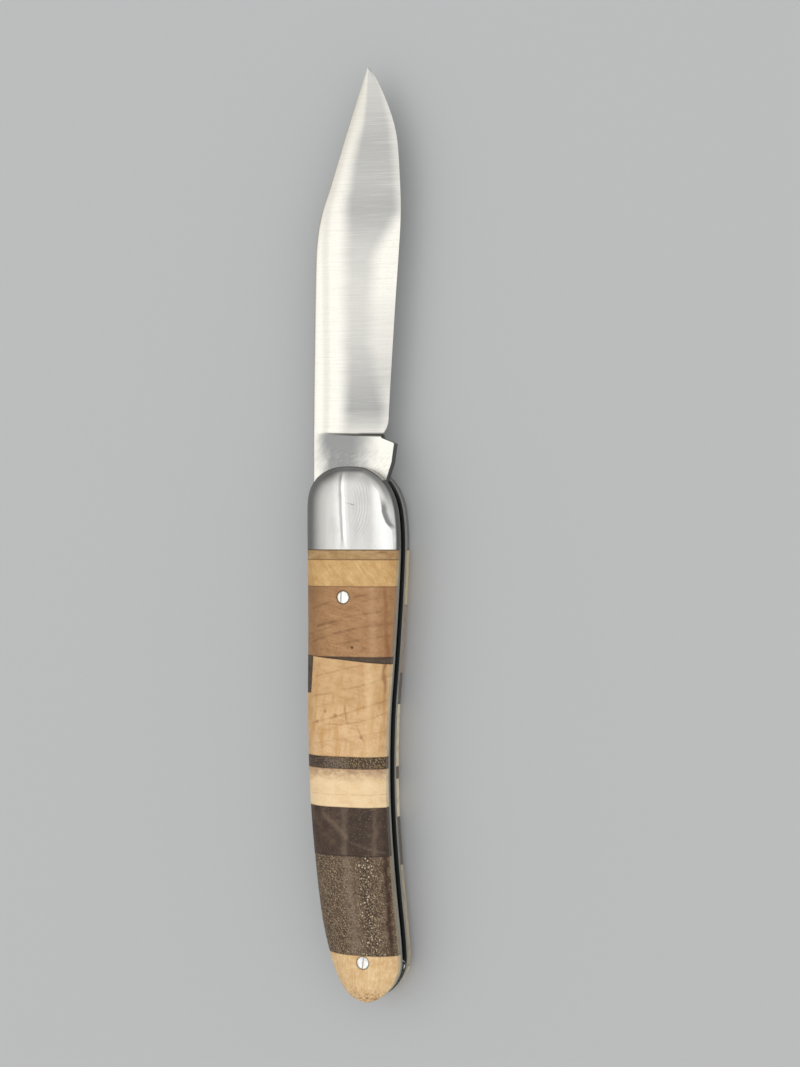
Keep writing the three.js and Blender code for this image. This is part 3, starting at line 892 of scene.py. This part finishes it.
def maple_wood(wood):
    wood.grain(76, (186, 142, 92), 0.5, 5.0, 0.28)
    wood.mottle((184, 140, 90), (230, 196, 148), 0.5, 0.6)
    amber = wood.noise((1.4, 6.0, 1.4), -5, 3)
    wood.paint(0.6, (196, 148, 88), (amber, 0.48, 0.68))
    wood.paint(0.3, (188, 146, 96), ("y", wood.low + 6.0, wood.low + 12.0))
    if wood.high - wood.low < 14:
        return
    lines = (
        ([(-8.2, 15.5), (-1.5, 17.2), (2.0, 18.0)], 0.28, 0.4),
        ([(-8.9, 11.6), (-4.1, 12.5)], 0.28, 0.45),
        ([(-2.5, 13.2), (3.3, 14.4), (7.0, 16.0)], 0.26, 0.4),
        ([(-9.1, 6.3), (-3.4, 8.0), (2.9, 9.8), (7.0, 11.3)], 0.28, 0.5),
        ([(-5.7, 6.5), (-2.5, 6.1), (2.3, 7.4), (6.7, 8.9)], 0.26, 0.45),
        ([(-9.6, 9.0), (-1.0, 11.2), (4.6, 12.2)], 0.24, 0.22),
        ([(-9.6, 2.2), (7.0, 5.2)], 0.24, 0.2),
    )
    wood.lines(lines, wood.low, (156, 110, 66), 1.5)
    for places in (((-1.7, 10.1), (-1.5, 8.3), (-1.0, 6.3)), ((0.9, 5.9), (1.7, 4.0), (2.3, 2.8))):
        crack = [(x, wood.low + y) for x, y in places]
        wood.paint(0.45, (140, 94, 54), wood.curve(crack, 0.3, True, 0.3))
    for x, y in ((-3.6, 8.0), (-5.8, 8.8), (-7.6, 6.7), (1.7, 3.9)):
        wood.paint(0.55, (144, 98, 58), wood.spot(x, wood.low + y, 0.5))
    # A painted highlight: soft light band along the block
    wood.band(3.2, 3.2, 1.3, 0.5, (236, 204, 156))
    streak = wood.curve([(5.7, wood.low - 2), (6.0, wood.high + 2)], 0.55, True, 0.9, 0.3)
    wood.paint(0.8, (136, 92, 54), streak, ("y", wood.low + 8.0, wood.low + 16.0))
    wood.paint(0.3, (168, 124, 76), streak, ("y", wood.low + 1.0, wood.low + 7.0))
    wood.paint(0.35, (190, 146, 92), ("x", -7.6, -9.8))


def dark_wood(wood):
    if "band" not in wood.node_name:
        wood.mottle((40, 27, 19), (86, 64, 47), 0.7)
        wood.grain(82, (44, 30, 21), 0.5, 2.4, 0.3)
        return
    wood.mottle((58, 44, 34), (116, 98, 78), 0.7)
    wood.grain(82, (60, 46, 36), 0.5, 2.4, 0.3)
    # Lighter and greyer at the left, a painted highlight
    wood.paint(0.5, (130, 114, 98), ("x", -7.4, -5.0), ("x", -0.2, -2.4))
    wood.paint(0.6, (70, 52, 36), ("x", -1.4, 0.4), ("x", 3.8, 2.4))
    wood.paint(0.5, (76, 58, 40), ("x", 4.4, 5.4))
    # Dark holes with painted shade beside light specks, which are painted highlights of the same relief
    for number, size in enumerate((0.3, 0.38, 0.34)):
        hole = wood.specks((size, size, size), 0.56, 20, 3 * number, 0.6)
        wood.paint(0.75, (42, 30, 20), hole)
        gleam = wood.specks((size, size, size), 0.5, 20, 3 * number + 0.12, 0.5)
        wood.paint(0.65, (166, 138, 96), gleam, ("x", -8.0, 1.0))


def pale_wood(wood):
    wood.grain(88, (222, 184, 128), 0.35, 8.0, 0.3)
    wood.mottle((218, 180, 124), (244, 218, 172), 0.4, 0.7)
    cloud = wood.noise((2.4, 1.6, 2.4), rough=0.65)
    depth = cloud * 4.5 + (wood.y - (wood.high + 1.0))
    wood.paint(0.8, (178, 144, 112), (depth, -1.6, 1.4))
    stain = wood.noise((0.9, 0.7, 0.9), 0, 7)
    wood.paint(0.5, (146, 112, 84), (stain, 0.42, 0.62), ("y", wood.high - 2.4, wood.high - 0.2))
    line = wood.curve([(-12, wood.high - 5.1), (12, wood.high - 4.9)], 0.16, wobble=0.1, wear=0.6)
    wood.paint(0.5, (194, 154, 102), line)


def walnut_wood(wood):
    wood.grain(-4, (48, 34, 24), 0.6, 3.0, 0.4)
    wood.mottle((44, 31, 23), (98, 78, 62), 0.65)
    # Painted highlights: two soft light bands along the block
    wood.band(-1.7, -1.7, 1.1, 0.5, (122, 104, 88))
    wood.band(4.2, 4.2, 0.8, 0.5, (116, 98, 82))
    wood.paint(0.55, (50, 36, 27), ("x", -1.2, -0.3), ("x", 3.4, 2.4))
    wood.paint(0.55, (44, 32, 24), ("x", 5.0, 5.9))
    # A painted highlight: a lighter slanting streak
    slant = [(-6.8, wood.high - 0.8), (-1.0, wood.high - 6.0)]
    wood.paint(0.5, (126, 106, 88), wood.curve(slant, 1.2, wobble=0.9, wear=0.3))
    low_slant = [(-0.6, wood.low + 2.6), (6.2, wood.low + 0.6)]
    wood.paint(0.5, (120, 100, 84), wood.curve(low_slant, 0.5, wobble=0.5))
    bright = wood.specks((0.4, 0.4, 0.4), 0.3, chance=0.5)
    wood.paint(0.6, (156, 132, 108), bright, ("x", -1.5, 0.5), ("x", 6.0, 3.5))
    fine = wood.noise((0.16, 0.3, 0.16), detail=2.0)
    wood.paint(0.45, (112, 92, 74), (fine, 0.55, 0.7))
    wood.paint(0.5, (40, 28, 20), (fine, 0.45, 0.3))


def porous_wood(wood):
    wood.grain(-6, (82, 62, 44), 0.5, 2.6, 0.3)
    wood.mottle((74, 54, 37), (138, 118, 96), 0.6)

    # Pores lie thick in two columns along the block and thin between them
    lean = (wood.y - wood.high) * 0.11 + wood.x
    columns = wood.ramp(
        lean, ((-11, 0.5), (-7, 0.9), (-3, 0.7), (-1.2, 0.15), (0.6, 0.5), (2, 1.0), (4, 0.6), (9, 0.4))
    )
    # A painted highlight: lighter stripe along the block, between the two columns
    wood.paint(0.6, (132, 114, 96), (lean, -3.0, -1.6), (lean, 0.3, -1.2))
    wood.paint(0.7, (70, 50, 35), (lean, 0.4, 1.6), (lean, 4.2, 2.4))
    sizes = (0.44, 0.56, 0.44), (0.34, 0.4, 0.34), (0.5, 0.36, 0.5), (0.28, 0.3, 0.28)
    # Dark pores with painted shade beside light specks of buffing compound, the specks painted as the lit
    # side of that relief
    for number, size in enumerate(sizes):
        turn = 20 + 37 * number
        pore_and_shade = wood.specks(size, 0.62, turn, 4 * number + 0.14)
        wood.paint(0.85, (50, 34, 22), pore_and_shade, columns)
        wood.emboss(pore_and_shade, -0.012)
        gleam = wood.specks(size, 0.38, turn, 4 * number, 0.42)
        wood.paint(0.75, (196, 176, 142), gleam, columns)
    thick = wood.fade(wood.noise((2.0, 3.0, 2.0), 0, 13), 0.4, 0.52)
    beads = wood.specks((0.48, 0.54, 0.48), 0.4, 10, 31, 0.55)
    wood.paint(0.9, (216, 198, 166), beads, (lean, -0.6, 1.0), (lean, 5.0, 3.4), thick)
    worms = wood.noise((0.3, 0.34, 0.3), 30, 6, detail=2.0)
    wood.paint(0.4, (160, 138, 110), (worms, 0.54, 0.62))
    wood.paint(0.45, (76, 56, 38), (worms, 0.46, 0.38))
    wood.band(5.8, 7.7, 0.75, 1.0, (58, 34, 18), 1.0, 0.3)


def butt_wood(wood):
    wood.grain(-6, (198, 154, 98), 0.55, 4.0, 0.4)
    wood.mottle((202, 160, 106), (240, 212, 166), 0.5, 0.6)
    stroke = wood.noise((0.45, 2.6, 0.45), -8, 4, detail=2.0)
    wood.paint(0.4, (242, 216, 174), (stroke, 0.54, 0.68))
    wood.paint(0.3, (196, 150, 96), (stroke, 0.44, 0.3))
    marks = wood.noise((0.7, 0.4, 0.7), 20, detail=4.0, rough=0.7)
    wood.paint(0.85, (148, 100, 56), (marks, 0.48, 0.6), ("y", wood.low + 3.6, wood.low + 1.2))


# Each wood: what paints it, its colour, that of its straight rim, and colour and strength of its glue
WOODS = {
    "wood_tan": (tan_wood, (183, 149, 104), (160, 134, 98), (80, 54, 30), 0.75),
    "wood_yellow": (yellow_wood, (208, 168, 112), (196, 184, 146), (120, 82, 46), 0.55),
    "wood_cherry": (cherry_wood, (177, 135, 92), (158, 146, 128), (88, 54, 32), 0.65),
    "wood_maple": (maple_wood, (224, 186, 138), (218, 210, 182), (112, 74, 42), 0.5),
    "wood_dark": (dark_wood, (92, 76, 60), (104, 96, 86), (38, 28, 20), 0.8),
    "wood_pale": (pale_wood, (240, 211, 168), (220, 210, 184), (116, 80, 50), 0.5),
    "wood_walnut": (walnut_wood, (76, 58, 45), (104, 96, 86), (34, 24, 18), 0.7),
    "wood_porous": (porous_wood, (108, 88, 68), (190, 176, 148), (48, 34, 24), 0.7),
    "wood_butt": (butt_wood, (226, 192, 143), (196, 192, 168), (90, 62, 36), 0.65),
}
SLANTED_END = {"upper_maple_block": 1, "upper_dark_wedge": 0, "upper_dark_sliver": 1}
DRILLED = {
    "upper_bolster": "pivot_pin",
    "lower_bolster": "pivot_pin",
    "upper_cherry_block": "upper_front_pin",
    "lower_yellow_block": "lower_front_pin",
    "upper_butt_block": "rear_pin",
    "lower_porous_block": "rear_pin",
}
SLANT_LEVEL = box("upper_cherry_block")[0].y


def wood_material(node, slot):
    """Looks of one block: its wood, its dull rim, the ring round its pin and the glue at its joints."""
    painter, color, rim, glue, strength = WOODS[slot]
    wood = Wood(node, color)
    painter(wood)
    dull = wood.fade(wood.off_middle(), LINER_OUTER + RIM + 0.2, LINER_OUTER + RIM - 0.25)
    wood.paint(0.45 if node.startswith("upper") else 0.85, rim, dull)
    # Darker blotches on the straight rim
    rim_blotches = wood.noise((0.8, 1.6, 0.8), 0, 1)
    wood.paint(0.35, (96, 84, 66), dull, (rim_blotches, 0.45, 0.7))
    if node in DRILLED:
        x, y, radius, _, _ = PINS[DRILLED[node]]
        ring = wood.spot(x, y, radius + 0.4, radius + 0.08)
        wood.paint(0.4 if "butt" in node else 0.5, (62, 42, 26), ring)
    slanted = (wood.x - SLANT_X) * SLANT_DROP + wood.y
    for number, (level, sign) in enumerate(((wood.low, 1), (wood.high, -1))):
        if node.endswith("butt_block") and number == 0:
            continue
        along = wood.y
        if SLANTED_END.get(node) == number:
            along, level = slanted, SLANT_LEVEL
        wood.paint(strength, glue, ((along - level) * sign, 0.22, 0.02))
    if node in ("upper_tan_strip", "lower_yellow_block"):
        wood.paint(0.8, (52, 34, 20), ("y", wood.high - 0.3, wood.high - 0.05))
    return wood.done()


# The darker band of painted reflection on the grind, by the distance from the pivot. Places across are
# shares of the width.
BAND_STRENGTH = (
    (12, 0.24), (18, 0.94), (24, 0.76), (31, 0.56), (36, 0.48), (42, 0.46), (50, 0.58), (57, 0.86),
    (63, 0.76), (70, 0.84), (77, 0.7), (85, 0.55),
)
BAND_START = (
    (12, 0.28), (22, 0.3), (45, 0.25), (52, 0.22), (57, 0.18), (63, 0.16), (69, 0.14), (75, 0.2), (85, 0.2),
)
BAND_END = (
    (12, 0.84), (18, 0.84), (24, 0.7), (31, 0.6), (47, 0.58), (52, 0.7), (57, 0.88), (64, 0.84), (71, 0.78),
    (85, 0.85),
)
LIGHT_AT_EDGE = (  # how far the band gives way beyond its end
    (12, 0.6), (18, 0.75), (24, 0.32), (31, 0.5), (37, 0.6), (42, 1.0), (57, 1.0), (66, 0.55), (85, 0.5),
)
LINE_PLACE = (  # of the soft painted shade line near the back
    (12, 0.173), (24, 0.168), (30, 0.157), (36, 0.145), (42, 0.136), (48, 0.118), (53, 0.099), (58, 0.066),
    (85, 0.06),
)

# Border between the bright and the grey band of painted reflection on the bolster, as y and a tenth of its x
BOLSTER_BORDER = (
    (-9, 0.765), (-5.9, 0.745), (-4.4, 0.64), (-2.4, 0.57), (-0.8, 0.55), (1.6, 0.498), (3.6, 0.335),
    (5.3, 0.17),
)


def grind_bands(finish, across, ground):
    """Painted reflection: light beside the back and at the edge, with a soft darker band between, and a
    painted shade line near the back.
    """
    share = (finish.noise((30, 6.0, 30), 0, 3) - 0.5) * 0.1 + across
    start, end = finish.ramp("y", BAND_START), finish.ramp("y", BAND_END)
    light = finish.product((share, end, end + 0.24), finish.ramp("y", LIGHT_AT_EDGE))
    strength = finish.ramp("y", BAND_STRENGTH)
    finish.paint(1.0, (160, 160, 159), (share, start, start + 0.22), 1.0 - light, strength, ground)
    from_line = abs(across - finish.ramp("y", LINE_PLACE))
    finish.paint(0.42, (208, 204, 196), (from_line, 0.07, 0.01), ground)


def grind_lines(finish, across, ground):
    """Tip and clip in a warmer tone and a darker outline along the back, as painted reflection, and the
    lines of the brushing.
    """
    finish.paint(0.6, (206, 202, 190), ("y", 60.0, 80.0), (across, 0.4, 0.2))
    finish.paint(0.8, (164, 146, 122), (across, 0.024, 0.008))
    finish.paint(0.4, (200, 194, 180), ("y", 46.0, 62.0), (across, 0.3, 0.0))
    lines = finish.noise((9.0, 0.14, 9.0), detail=4.0, rough=0.7)
    finish.paint(0.2, (172, 171, 168), (lines, 0.48, 0.7), ground)
    finish.paint(0.2, (255, 254, 250), (lines, 0.5, 0.32), ground)
    dots = finish.noise((0.35, 0.25, 0.35), 0, 5, rough=0.7)
    finish.paint(0.2, (172, 171, 168), (dots, 0.5, 0.72), ground)
    finish.emboss(finish.noise((5.0, 0.12, 5.0), 0, 1, 5.0, 0.7), 0.002)


def flat_looks(finish, flat):
    """Painted soft grey reflection, white towards the kick, fine slanting scratches, a dark plunge line of
    painted shade, and painted shade on the tang's right side wall.
    """
    drift = (finish.noise((3.0, 5.0, 3.0), -25, 9) - 0.5) * 4.5 + finish.x
    finish.paint(0.9, (136, 137, 138), (drift, -10.6, -6.4), (drift, 4.0, -2.6), flat)
    slanting = finish.noise((0.1, 1.5, 0.1), -58, 2, detail=3.0)
    near_bolster = finish.product(("y", 11.8, 7.5), flat)
    finish.paint(0.45, (250, 248, 244), (slanting, 0.56, 0.68), near_bolster)
    finish.paint(0.3, (120, 120, 118), (slanting, 0.44, 0.34), near_bolster)
    line_y = finish.x * (-2 * PLUNGE_RISE / PLUNGE_SPAN) + float(plunge_at(0))
    # Painted shade along the plunge step
    finish.paint(0.8, (52, 42, 34), (abs(finish.y - line_y), 0.26, 0.06), ("x", -8.5, -1.0))
    side_wall = (finish.off_middle(), BLADE_HALF - 0.03, BLADE_HALF - 0.1)
    # Painted shade on the tang's right side wall
    finish.paint(0.95, (70, 70, 68), side_wall, ("x", -2.0, 0.0), flat)


def blade_finish():
    """Satin steel, brushed across the grind and polished on the flat."""
    finish = Finish("brushed_blade", (247, 244, 234), 0.3, 1.0, Anisotropic=0.6)
    tangent = finish.node("ShaderNodeTangent", direction_type="UV_MAP", uv_map="brushing")
    finish.feed(tangent.outputs[0], finish.shader.inputs["Tangent"])
    across, _, _ = finish.split(finish.node("ShaderNodeUVMap", uv_map="brushing").outputs[0])
    ground = finish.fade("y", PLUNGE + 0.1, PLUNGE + 0.6)
    grind_bands(finish, across, ground)
    grind_lines(finish, across, ground)
    flat_looks(finish, 1.0 - ground)
    return finish.done()


def ridge_looks(finish, waver):
    """Painted reflection of a soft ridge: a dark and a bright line, with the metal painted a little greyer
    left of it than right of it.
    """
    from_ridge = finish.x - (finish.y * -0.05 + RIDGE_X) + waver * 0.3
    finish.paint(0.7, (198, 197, 192), (from_ridge, -0.5, -2.2))
    along = finish.product(("y", 5.8, 4.4), ("y", BOLSTER_END, BOLSTER_END + 2.6))
    finish.paint(0.6, (140, 139, 136), (from_ridge, -0.62, -0.12), (from_ridge, 0.3, 0.0), along)
    finish.paint(0.9, (252, 252, 250), (from_ridge, 0.1, 0.3), (from_ridge, 1.0, 0.5), along)
    finish.paint(0.6, (190, 189, 186), (from_ridge, 0.7, 1.8), ("x", 5.0, 3.4))


def ripples(finish):
    """Faint ripples in rings about a place at the left, a slight bump with painted reflection, and a short
    dark scratch.
    """
    ring_x, ring_y = finish.x + 6.5, finish.y + 1.0
    radius = finish.math("SQRT", ring_x * ring_x + ring_y * ring_y)
    phase = finish.noise((1.5, 1.5, 1.5), 0, 6, detail=2.0) * 5.0 + radius * 11.0
    zone = ("x", -0.8, 0.8), ("x", 4.2, 2.4), ("y", 4.6, 2.0), ("y", BOLSTER_END, -5.0)
    rippled = finish.product(finish.math("SINE", phase), *zone)
    finish.paint(0.3, (150, 148, 144), (rippled, 0.1, 1.0))
    finish.emboss(rippled, 0.0012)
    dash = finish.curve([(-1.3, -0.5), (0.3, -0.95)], 0.12, wobble=0.3)
    finish.paint(0.85, (64, 62, 60), dash)


def band_looks(finish, waver):
    """Painted reflections: a bright band down to the flank, with a sharp border to a grey one and a dark
    patch beside it.
    """
    border = finish.ramp("y", BOLSTER_BORDER) * 10.0 + waver * 0.4
    beyond = finish.x - border
    from_left = finish.y * 0.15 + finish.x
    finish.paint(0.85, (250, 250, 248), (from_left, 3.2, 5.0), (beyond, 0.1, -0.15))
    finish.paint(0.6, (204, 204, 202), (beyond, -0.1, 0.2), ("y", -8.0, -6.4))
    patch = (beyond, -0.1, 0.15), (beyond, 1.2, 0.5), ("y", -5.8, -4.8), ("y", 0.8, -1.6)
    finish.paint(0.95, (128, 128, 126), *patch)


def rim_looks(finish):
    """Painted shade and dark reflection on the steep part of the rounding at the back and round the front,
    and on the straight rim, darkest on the upper rim at the front.
    """
    away = finish.off_middle() - (LINER_OUTER + RIM)
    finish.paint(0.75, (98, 98, 96), (away, 2.5, 0.9), ("x", -1.5, -6.0))
    finish.paint(0.65, (104, 104, 102), (away, 1.3, 0.7), ("x", -7.0, -3.0), ("y", -3.4, 2.4))
    rim = finish.fade(away, 0.3, -0.1)
    finish.paint(0.9, (134, 134, 131), rim)
    upper_rim = finish.product(rim, ("z", MIDDLE, MIDDLE + 1))
    finish.paint(0.9, (92, 92, 89), upper_rim)
    finish.paint(0.8, (56, 56, 54), upper_rim, ("y", 1.0, 5.0))


def bolster_finish():
    """Hand-polished metal, with a soft ridge along it and faint ripples over the ground pivot pin, both
    partly painted reflection.
    """
    finish = Finish("polished_bolster", (232, 231, 227), 0.17, 1.0)
    cloud = finish.noise((2.0, 5.0, 2.0), 0, 4, detail=4.0, rough=0.6)
    finish.paint(0.45, (196, 195, 190), (cloud, 0.42, 0.66))
    satin = finish.noise((0.12, 4.0, 0.12), 2, 2)
    finish.paint(0.25, (186, 184, 178), (satin, 0.5, 0.7))
    finish.emboss(satin, 0.0012)
    waver = finish.noise((2.0, 3.0, 2.0), 0, 8) - 0.5
    ridge_looks(finish, waver)
    ripples(finish)
    band_looks(finish, waver)
    rim_looks(finish)
    return finish.done()


def pin_finish(node):
    """Bright pin end with one darker line across it."""
    x, y, radius, _, _ = PINS[node]
    finish = Finish("polished_" + node, (244, 243, 240), 0.22, 1.0)
    place, slope = (x - 0.42, 0.02) if "front" in node else (x + 0.05, 0.12)
    line = finish.curve([(place - 3 * slope, y - 3), (place + 3 * slope, y + 3)], 0.24, True, 0.1, 0.2)
    finish.paint(0.85, (124, 112, 100), line)
    clouds = finish.noise((0.5, 1.4, 0.5), 12)
    finish.paint(0.45, (176, 175, 172), (clouds, 0.5, 0.66))
    finish.paint(0.5, (120, 116, 110), 1.0 - finish.spot(x, y, radius * 1.02, radius * 0.84))
    finish.emboss(finish.noise((0.08, 3.0, 0.08), 10, 2, 5.0, 0.7), 0.002)
    return finish.done()


def liner_finish():
    """Dull sheet metal, with painted shade: the upper liner a little darker, more so beside the bolster, and
    dark towards the slot.
    """
    finish = Finish("liner_edge", (190, 190, 182), 0.3, 1.0)
    lines = finish.noise((3.0, 3.0, 0.12), detail=4.0, rough=0.65)
    finish.paint(0.45, (132, 132, 124), (lines, 0.4, 0.66))
    cloud = finish.noise((5.0, 9.0, 2.0), 0, 5)
    finish.paint(0.4, (212, 212, 204), (cloud, 0.45, 0.66))
    finish.emboss(finish.noise((2.5, 2.5, 0.08), 0, 3, 5.0, 0.7), 0.002)
    # Painted shade: the upper liner a little darker, more so beside the bolster
    upper = finish.fade("z", MIDDLE - 0.5, MIDDLE + 0.5)
    finish.paint(0.3, (140, 140, 134), upper)
    finish.paint(0.7, (96, 96, 92), upper, ("y", BOLSTER_END - 2, BOLSTER_END + 1))
    # Painted shade on the faces towards the slot
    finish.paint(1.0, (58, 58, 57), (finish.off_middle(), SPRING_HALF + 0.06, SPRING_HALF + 0.02))
    return finish.done()


def spring_finish():
    """Polished steel. Where its tail ends in the slot it is rougher and painted dark as painted reflection,
    with light specks and two painted glints.
    """
    finish = Finish("polished_spring", (200, 198, 192), 0.24, 1.0)
    lines = finish.noise((4.0, 6.0, 0.14), detail=4.0, rough=0.65)
    finish.paint(0.45, (150, 149, 145), (lines, 0.42, 0.66))
    cloud = finish.noise((5.0, 8.0, 5.0), 0, 7)
    finish.paint(0.35, (222, 220, 212), (cloud, 0.45, 0.68))
    finish.emboss(finish.noise((3.0, 3.0, 0.08), 0, 3, 5.0, 0.7), 0.002)
    tail = finish.product(("x", 1.0, 4.0), ("y", HANDLE_END + 14, HANDLE_END + 10))
    # Painted dark reflection on the tail
    finish.paint(0.95, (40, 40, 38), tail)
    specks = finish.noise((0.4, 0.4, 0.25), 30, 4, detail=4.0, rough=0.7)
    finish.paint(0.75, (190, 188, 180), tail, (specks, 0.56, 0.64))
    # Two painted glints on the tail's end
    for up, z in ((7.8, 5.7), (6.7, 6.3)):
        finish.paint(1.0, (250, 249, 244), tail, finish.spot(0, HANDLE_END + up, 0.5, 0.2, z))
    finish.feed(tail * 0.4 + 0.24, finish.shader.inputs["Roughness"])
    return finish.done()


# Pieces

SLOTS = {piece["node"]: piece["material_slot"] for piece in frame["record"]["subparts"]}
bolster_metal, liner_metal = bolster_finish(), liner_finish()

blade = new_object("piece", blade_mesh())
cut(blade, nick_cutter())
blade_uv(blade.data)
finished(blade, "blade", blade_finish(), 24, "blade")
blade.modifiers.new("even", "WEIGHTED_NORMAL").keep_sharp = True

ON_OUTLINE = 0.12  # a point this close to the handle's outline lies on it


def spliced(loop):
    """A plate's outline with its stretches along the handle's outline made smooth."""
    _, distance, _ = nearest(loop, OUTLINE, True)
    number = np.linalg.norm(loop[:, None] - OUTLINE[None], axis=2).argmin(1)
    total = len(loop)
    result = []
    for i in range(total):
        result.append(tuple(loop[i]))
        j = (i + 1) % total
        step = (number[j] - number[i]) % len(OUTLINE)
        if max(distance[i], distance[j]) < ON_OUTLINE and 0 < step < len(OUTLINE) // 4:
            result += [tuple(OUTLINE[(number[i] + k) % len(OUTLINE)]) for k in range(1, step)]
    return result


def drilled_plate(node, outline, pins, bevel, material):
    """A flat piece with the holes of its pins."""
    holes = [circle(x, y, radius + PIN_RING) for x, y, radius, _, _ in (PINS[pin] for pin in pins)]
    low, high = box(node)
    finished(new_object("piece", plate([outline, *holes], low.z, high.z, bevel)), node, material)


for name, front_pin in (("upper_liner", "upper_front_pin"), ("lower_liner", "lower_front_pin")):
    liner_pins = ("pivot_pin", "rear_pin", front_pin, "spring_pin")
    drilled_plate(name, OUTLINE, liner_pins, 0.07, liner_metal)
spring_outline = spliced(flat_loops("backspring", spring_high.z)[0])
drilled_plate("backspring", spring_outline, ("rear_pin", "spring_pin"), 0.05, spring_finish())

for name in PIN_NODES:
    material = bolster_metal if name == "pivot_pin" else pin_finish(name)
    if name == "spring_pin":
        frame["nodes"][name].data.materials.clear()
        frame["nodes"][name].data.materials.append(material)
    else:
        finished(new_object("piece", pin_solid(name)), name, material)

UP, DOWN = (0, 1, 0), (0, -1, 0)


def end_planes(node):
    """Planes that keep a block's own length of a side, without the ends where the outline ends it."""
    low, high = box(node)
    planes = [] if node.endswith(("bolster", "upper_maple_block")) else [((0, high.y, 0), UP)]
    return planes + ([] if node.endswith("butt_block") else [((0, low.y, 0), DOWN)])


def slant_plane(gap, keep_above):
    """Plane of the slanted joint, lowered by a gap."""
    normal = Vector((SLANT_DROP, 1, 0)).normalized()
    return (SLANT_X, SLANT_LEVEL - gap, 0), tuple(-normal if keep_above else normal)


SLIVER_LOW = SLANT_LEVEL - SLIVER_LENGTH
SLIVER_BACK = min(p[0] for p in OUTLINE if abs(p[1] - SLANT_LEVEL) < SLIVER_LENGTH)


def sliver_prism():
    """Space of the sliver along the back edge and its glue, as a closed mesh."""
    corners = [
        (SLIVER_BACK - CLEAR, SLIVER_LOW - GLUE),
        (SLIVER_BACK + SLIVER_END + GLUE, SLIVER_LOW - GLUE),
        (SLIVER_BACK + SLIVER_TOP + GLUE, SLANT_LEVEL),
        (SLIVER_BACK + SLIVER_TOP + GLUE, SLANT_LEVEL + CLEAR),
        (SLIVER_BACK - CLEAR, SLANT_LEVEL + CLEAR),
    ]
    return new_mesh("prism", *capped([[(x, y, z) for x, y in corners] for z in (0, 2 * MIDDLE + 1)]))


sides = {"upper": handle_side(1), "lower": handle_side(-1)}
sliver_side = Vector((SLIVER_LENGTH, -(SLIVER_TOP - SLIVER_END), 0)).normalized()
own_planes = {
    "upper_dark_wedge": [slant_plane(0, True), ((0, SLANT_LEVEL, 0), UP)],
    "upper_dark_sliver": [
        slant_plane(GLUE, False),
        ((0, SLIVER_LOW, 0), DOWN),
        ((SLIVER_BACK + SLIVER_TOP, SLANT_LEVEL, 0), tuple(sliver_side)),
    ],
    "upper_cherry_block": [*end_planes("upper_cherry_block"), slant_plane(0, True)],
    "upper_maple_block": [*end_planes("upper_maple_block"), slant_plane(GLUE, False)],
}
for name, slot in SLOTS.items():
    if not name.endswith("bolster") and slot not in WOODS:
        continue
    made = new_object("piece", sliced(sides[name[:5]], own_planes.get(name) or end_planes(name)))
    if name in DRILLED:
        x, y, radius, _, _ = PINS[DRILLED[name]]
        radius += HAIRLINE if name.endswith("bolster") else PIN_RING
        cut(made, turned([(radius, -1), (radius, 2 * MIDDLE + 1)], x, y))
    if name == "upper_maple_block":
        cut(made, sliver_prism())
    finished(made, name, wood_material(name, slot) if slot in WOODS else bolster_metal, 32)


# Stage

FLOOR_REACH = 3000
VIEW_TILT = math.radians(19)
VIEW_DISTANCE = 390.0
VIEW_TARGET = Vector((6.70, -6.5, 4.09))
VIEW_LENS = 66.8
LAMP_PLACE = Vector((-300, 100, 700))
LAMP_SIZE = 500
LAMP_POWER = 0.3
SKY_LEVEL = 1.09
SKY_FALL = 0.35  # how much darker the studio is beyond the knife's two ends

# Studio all round, by the angle from overhead: brightest there, dimmer to the right and most to the left
STUDIO = (
    (-90, 0.42), (-70, 0.58), (-50, 0.77), (-32, 0.9), (-20, 1.08), (-6, 1.08), (10, 1.02),
    (45, 1.0), (62, 0.95), (76, 0.82), (90, 0.66),
)

corners = [(x * FLOOR_REACH, y * FLOOR_REACH, 0) for x, y in ((-1, -1), (1, -1), (1, 1), (-1, 1))]
floor = new_object("floor", new_mesh("floor", corners, [(0, 1, 2, 3)]))
floor_finish = Finish("floor", (185, 187, 187), 0.7)
floor_finish.paint(0.1, (174, 177, 179), floor_finish.noise((1.2, 1.2, 1.2), detail=4.0))
floor.data.materials.append(floor_finish.done())

camera = new_object("camera", bpy.data.cameras.new("camera"))
toward = Vector((math.sin(VIEW_TILT), 0, math.cos(VIEW_TILT)))
right = Vector((math.cos(VIEW_TILT), 0, -math.sin(VIEW_TILT)))
turn = Matrix((right, Vector(UP), toward)).transposed().to_4x4()
camera.matrix_world = Matrix.Translation((VIEW_TARGET + toward * VIEW_DISTANCE) * MM) @ turn
camera.data.lens = VIEW_LENS
camera.data.clip_start = 0.01
bpy.context.scene.camera = camera

# Large soft lamp above, a little to the left, that the metal doesn't mirror
lamp = bpy.data.lights.new("key", "AREA")
lamp.size = LAMP_SIZE * MM
lamp.energy = LAMP_POWER
key = new_object("key", lamp)
key.location = LAMP_PLACE * MM
key.rotation_mode = "QUATERNION"
key.rotation_quaternion = LAMP_PLACE.to_track_quat("Z", "Y")
key.visible_glossy = False

world = bpy.data.worlds.new("studio")
bpy.context.scene.world = world
world.use_nodes = True
sky = Painter(world.node_tree)
sky_x, sky_y, sky_z = sky.split(sky.node("ShaderNodeTexCoord").outputs["Generated"])
turned_by = sky.math("ARCTAN2", sky_x, sky_z) * (180 / math.pi)
level = 1.0 - sky.fade(abs(sky_y), 0.45, 0.98) * SKY_FALL
background = world.node_tree.nodes["Background"]
sky.feed(sky.ramp(turned_by, STUDIO), background.inputs["Color"])
sky.feed(level * SKY_LEVEL, background.inputs["Strength"])

bpy.context.scene.view_settings.view_transform = "Standard"
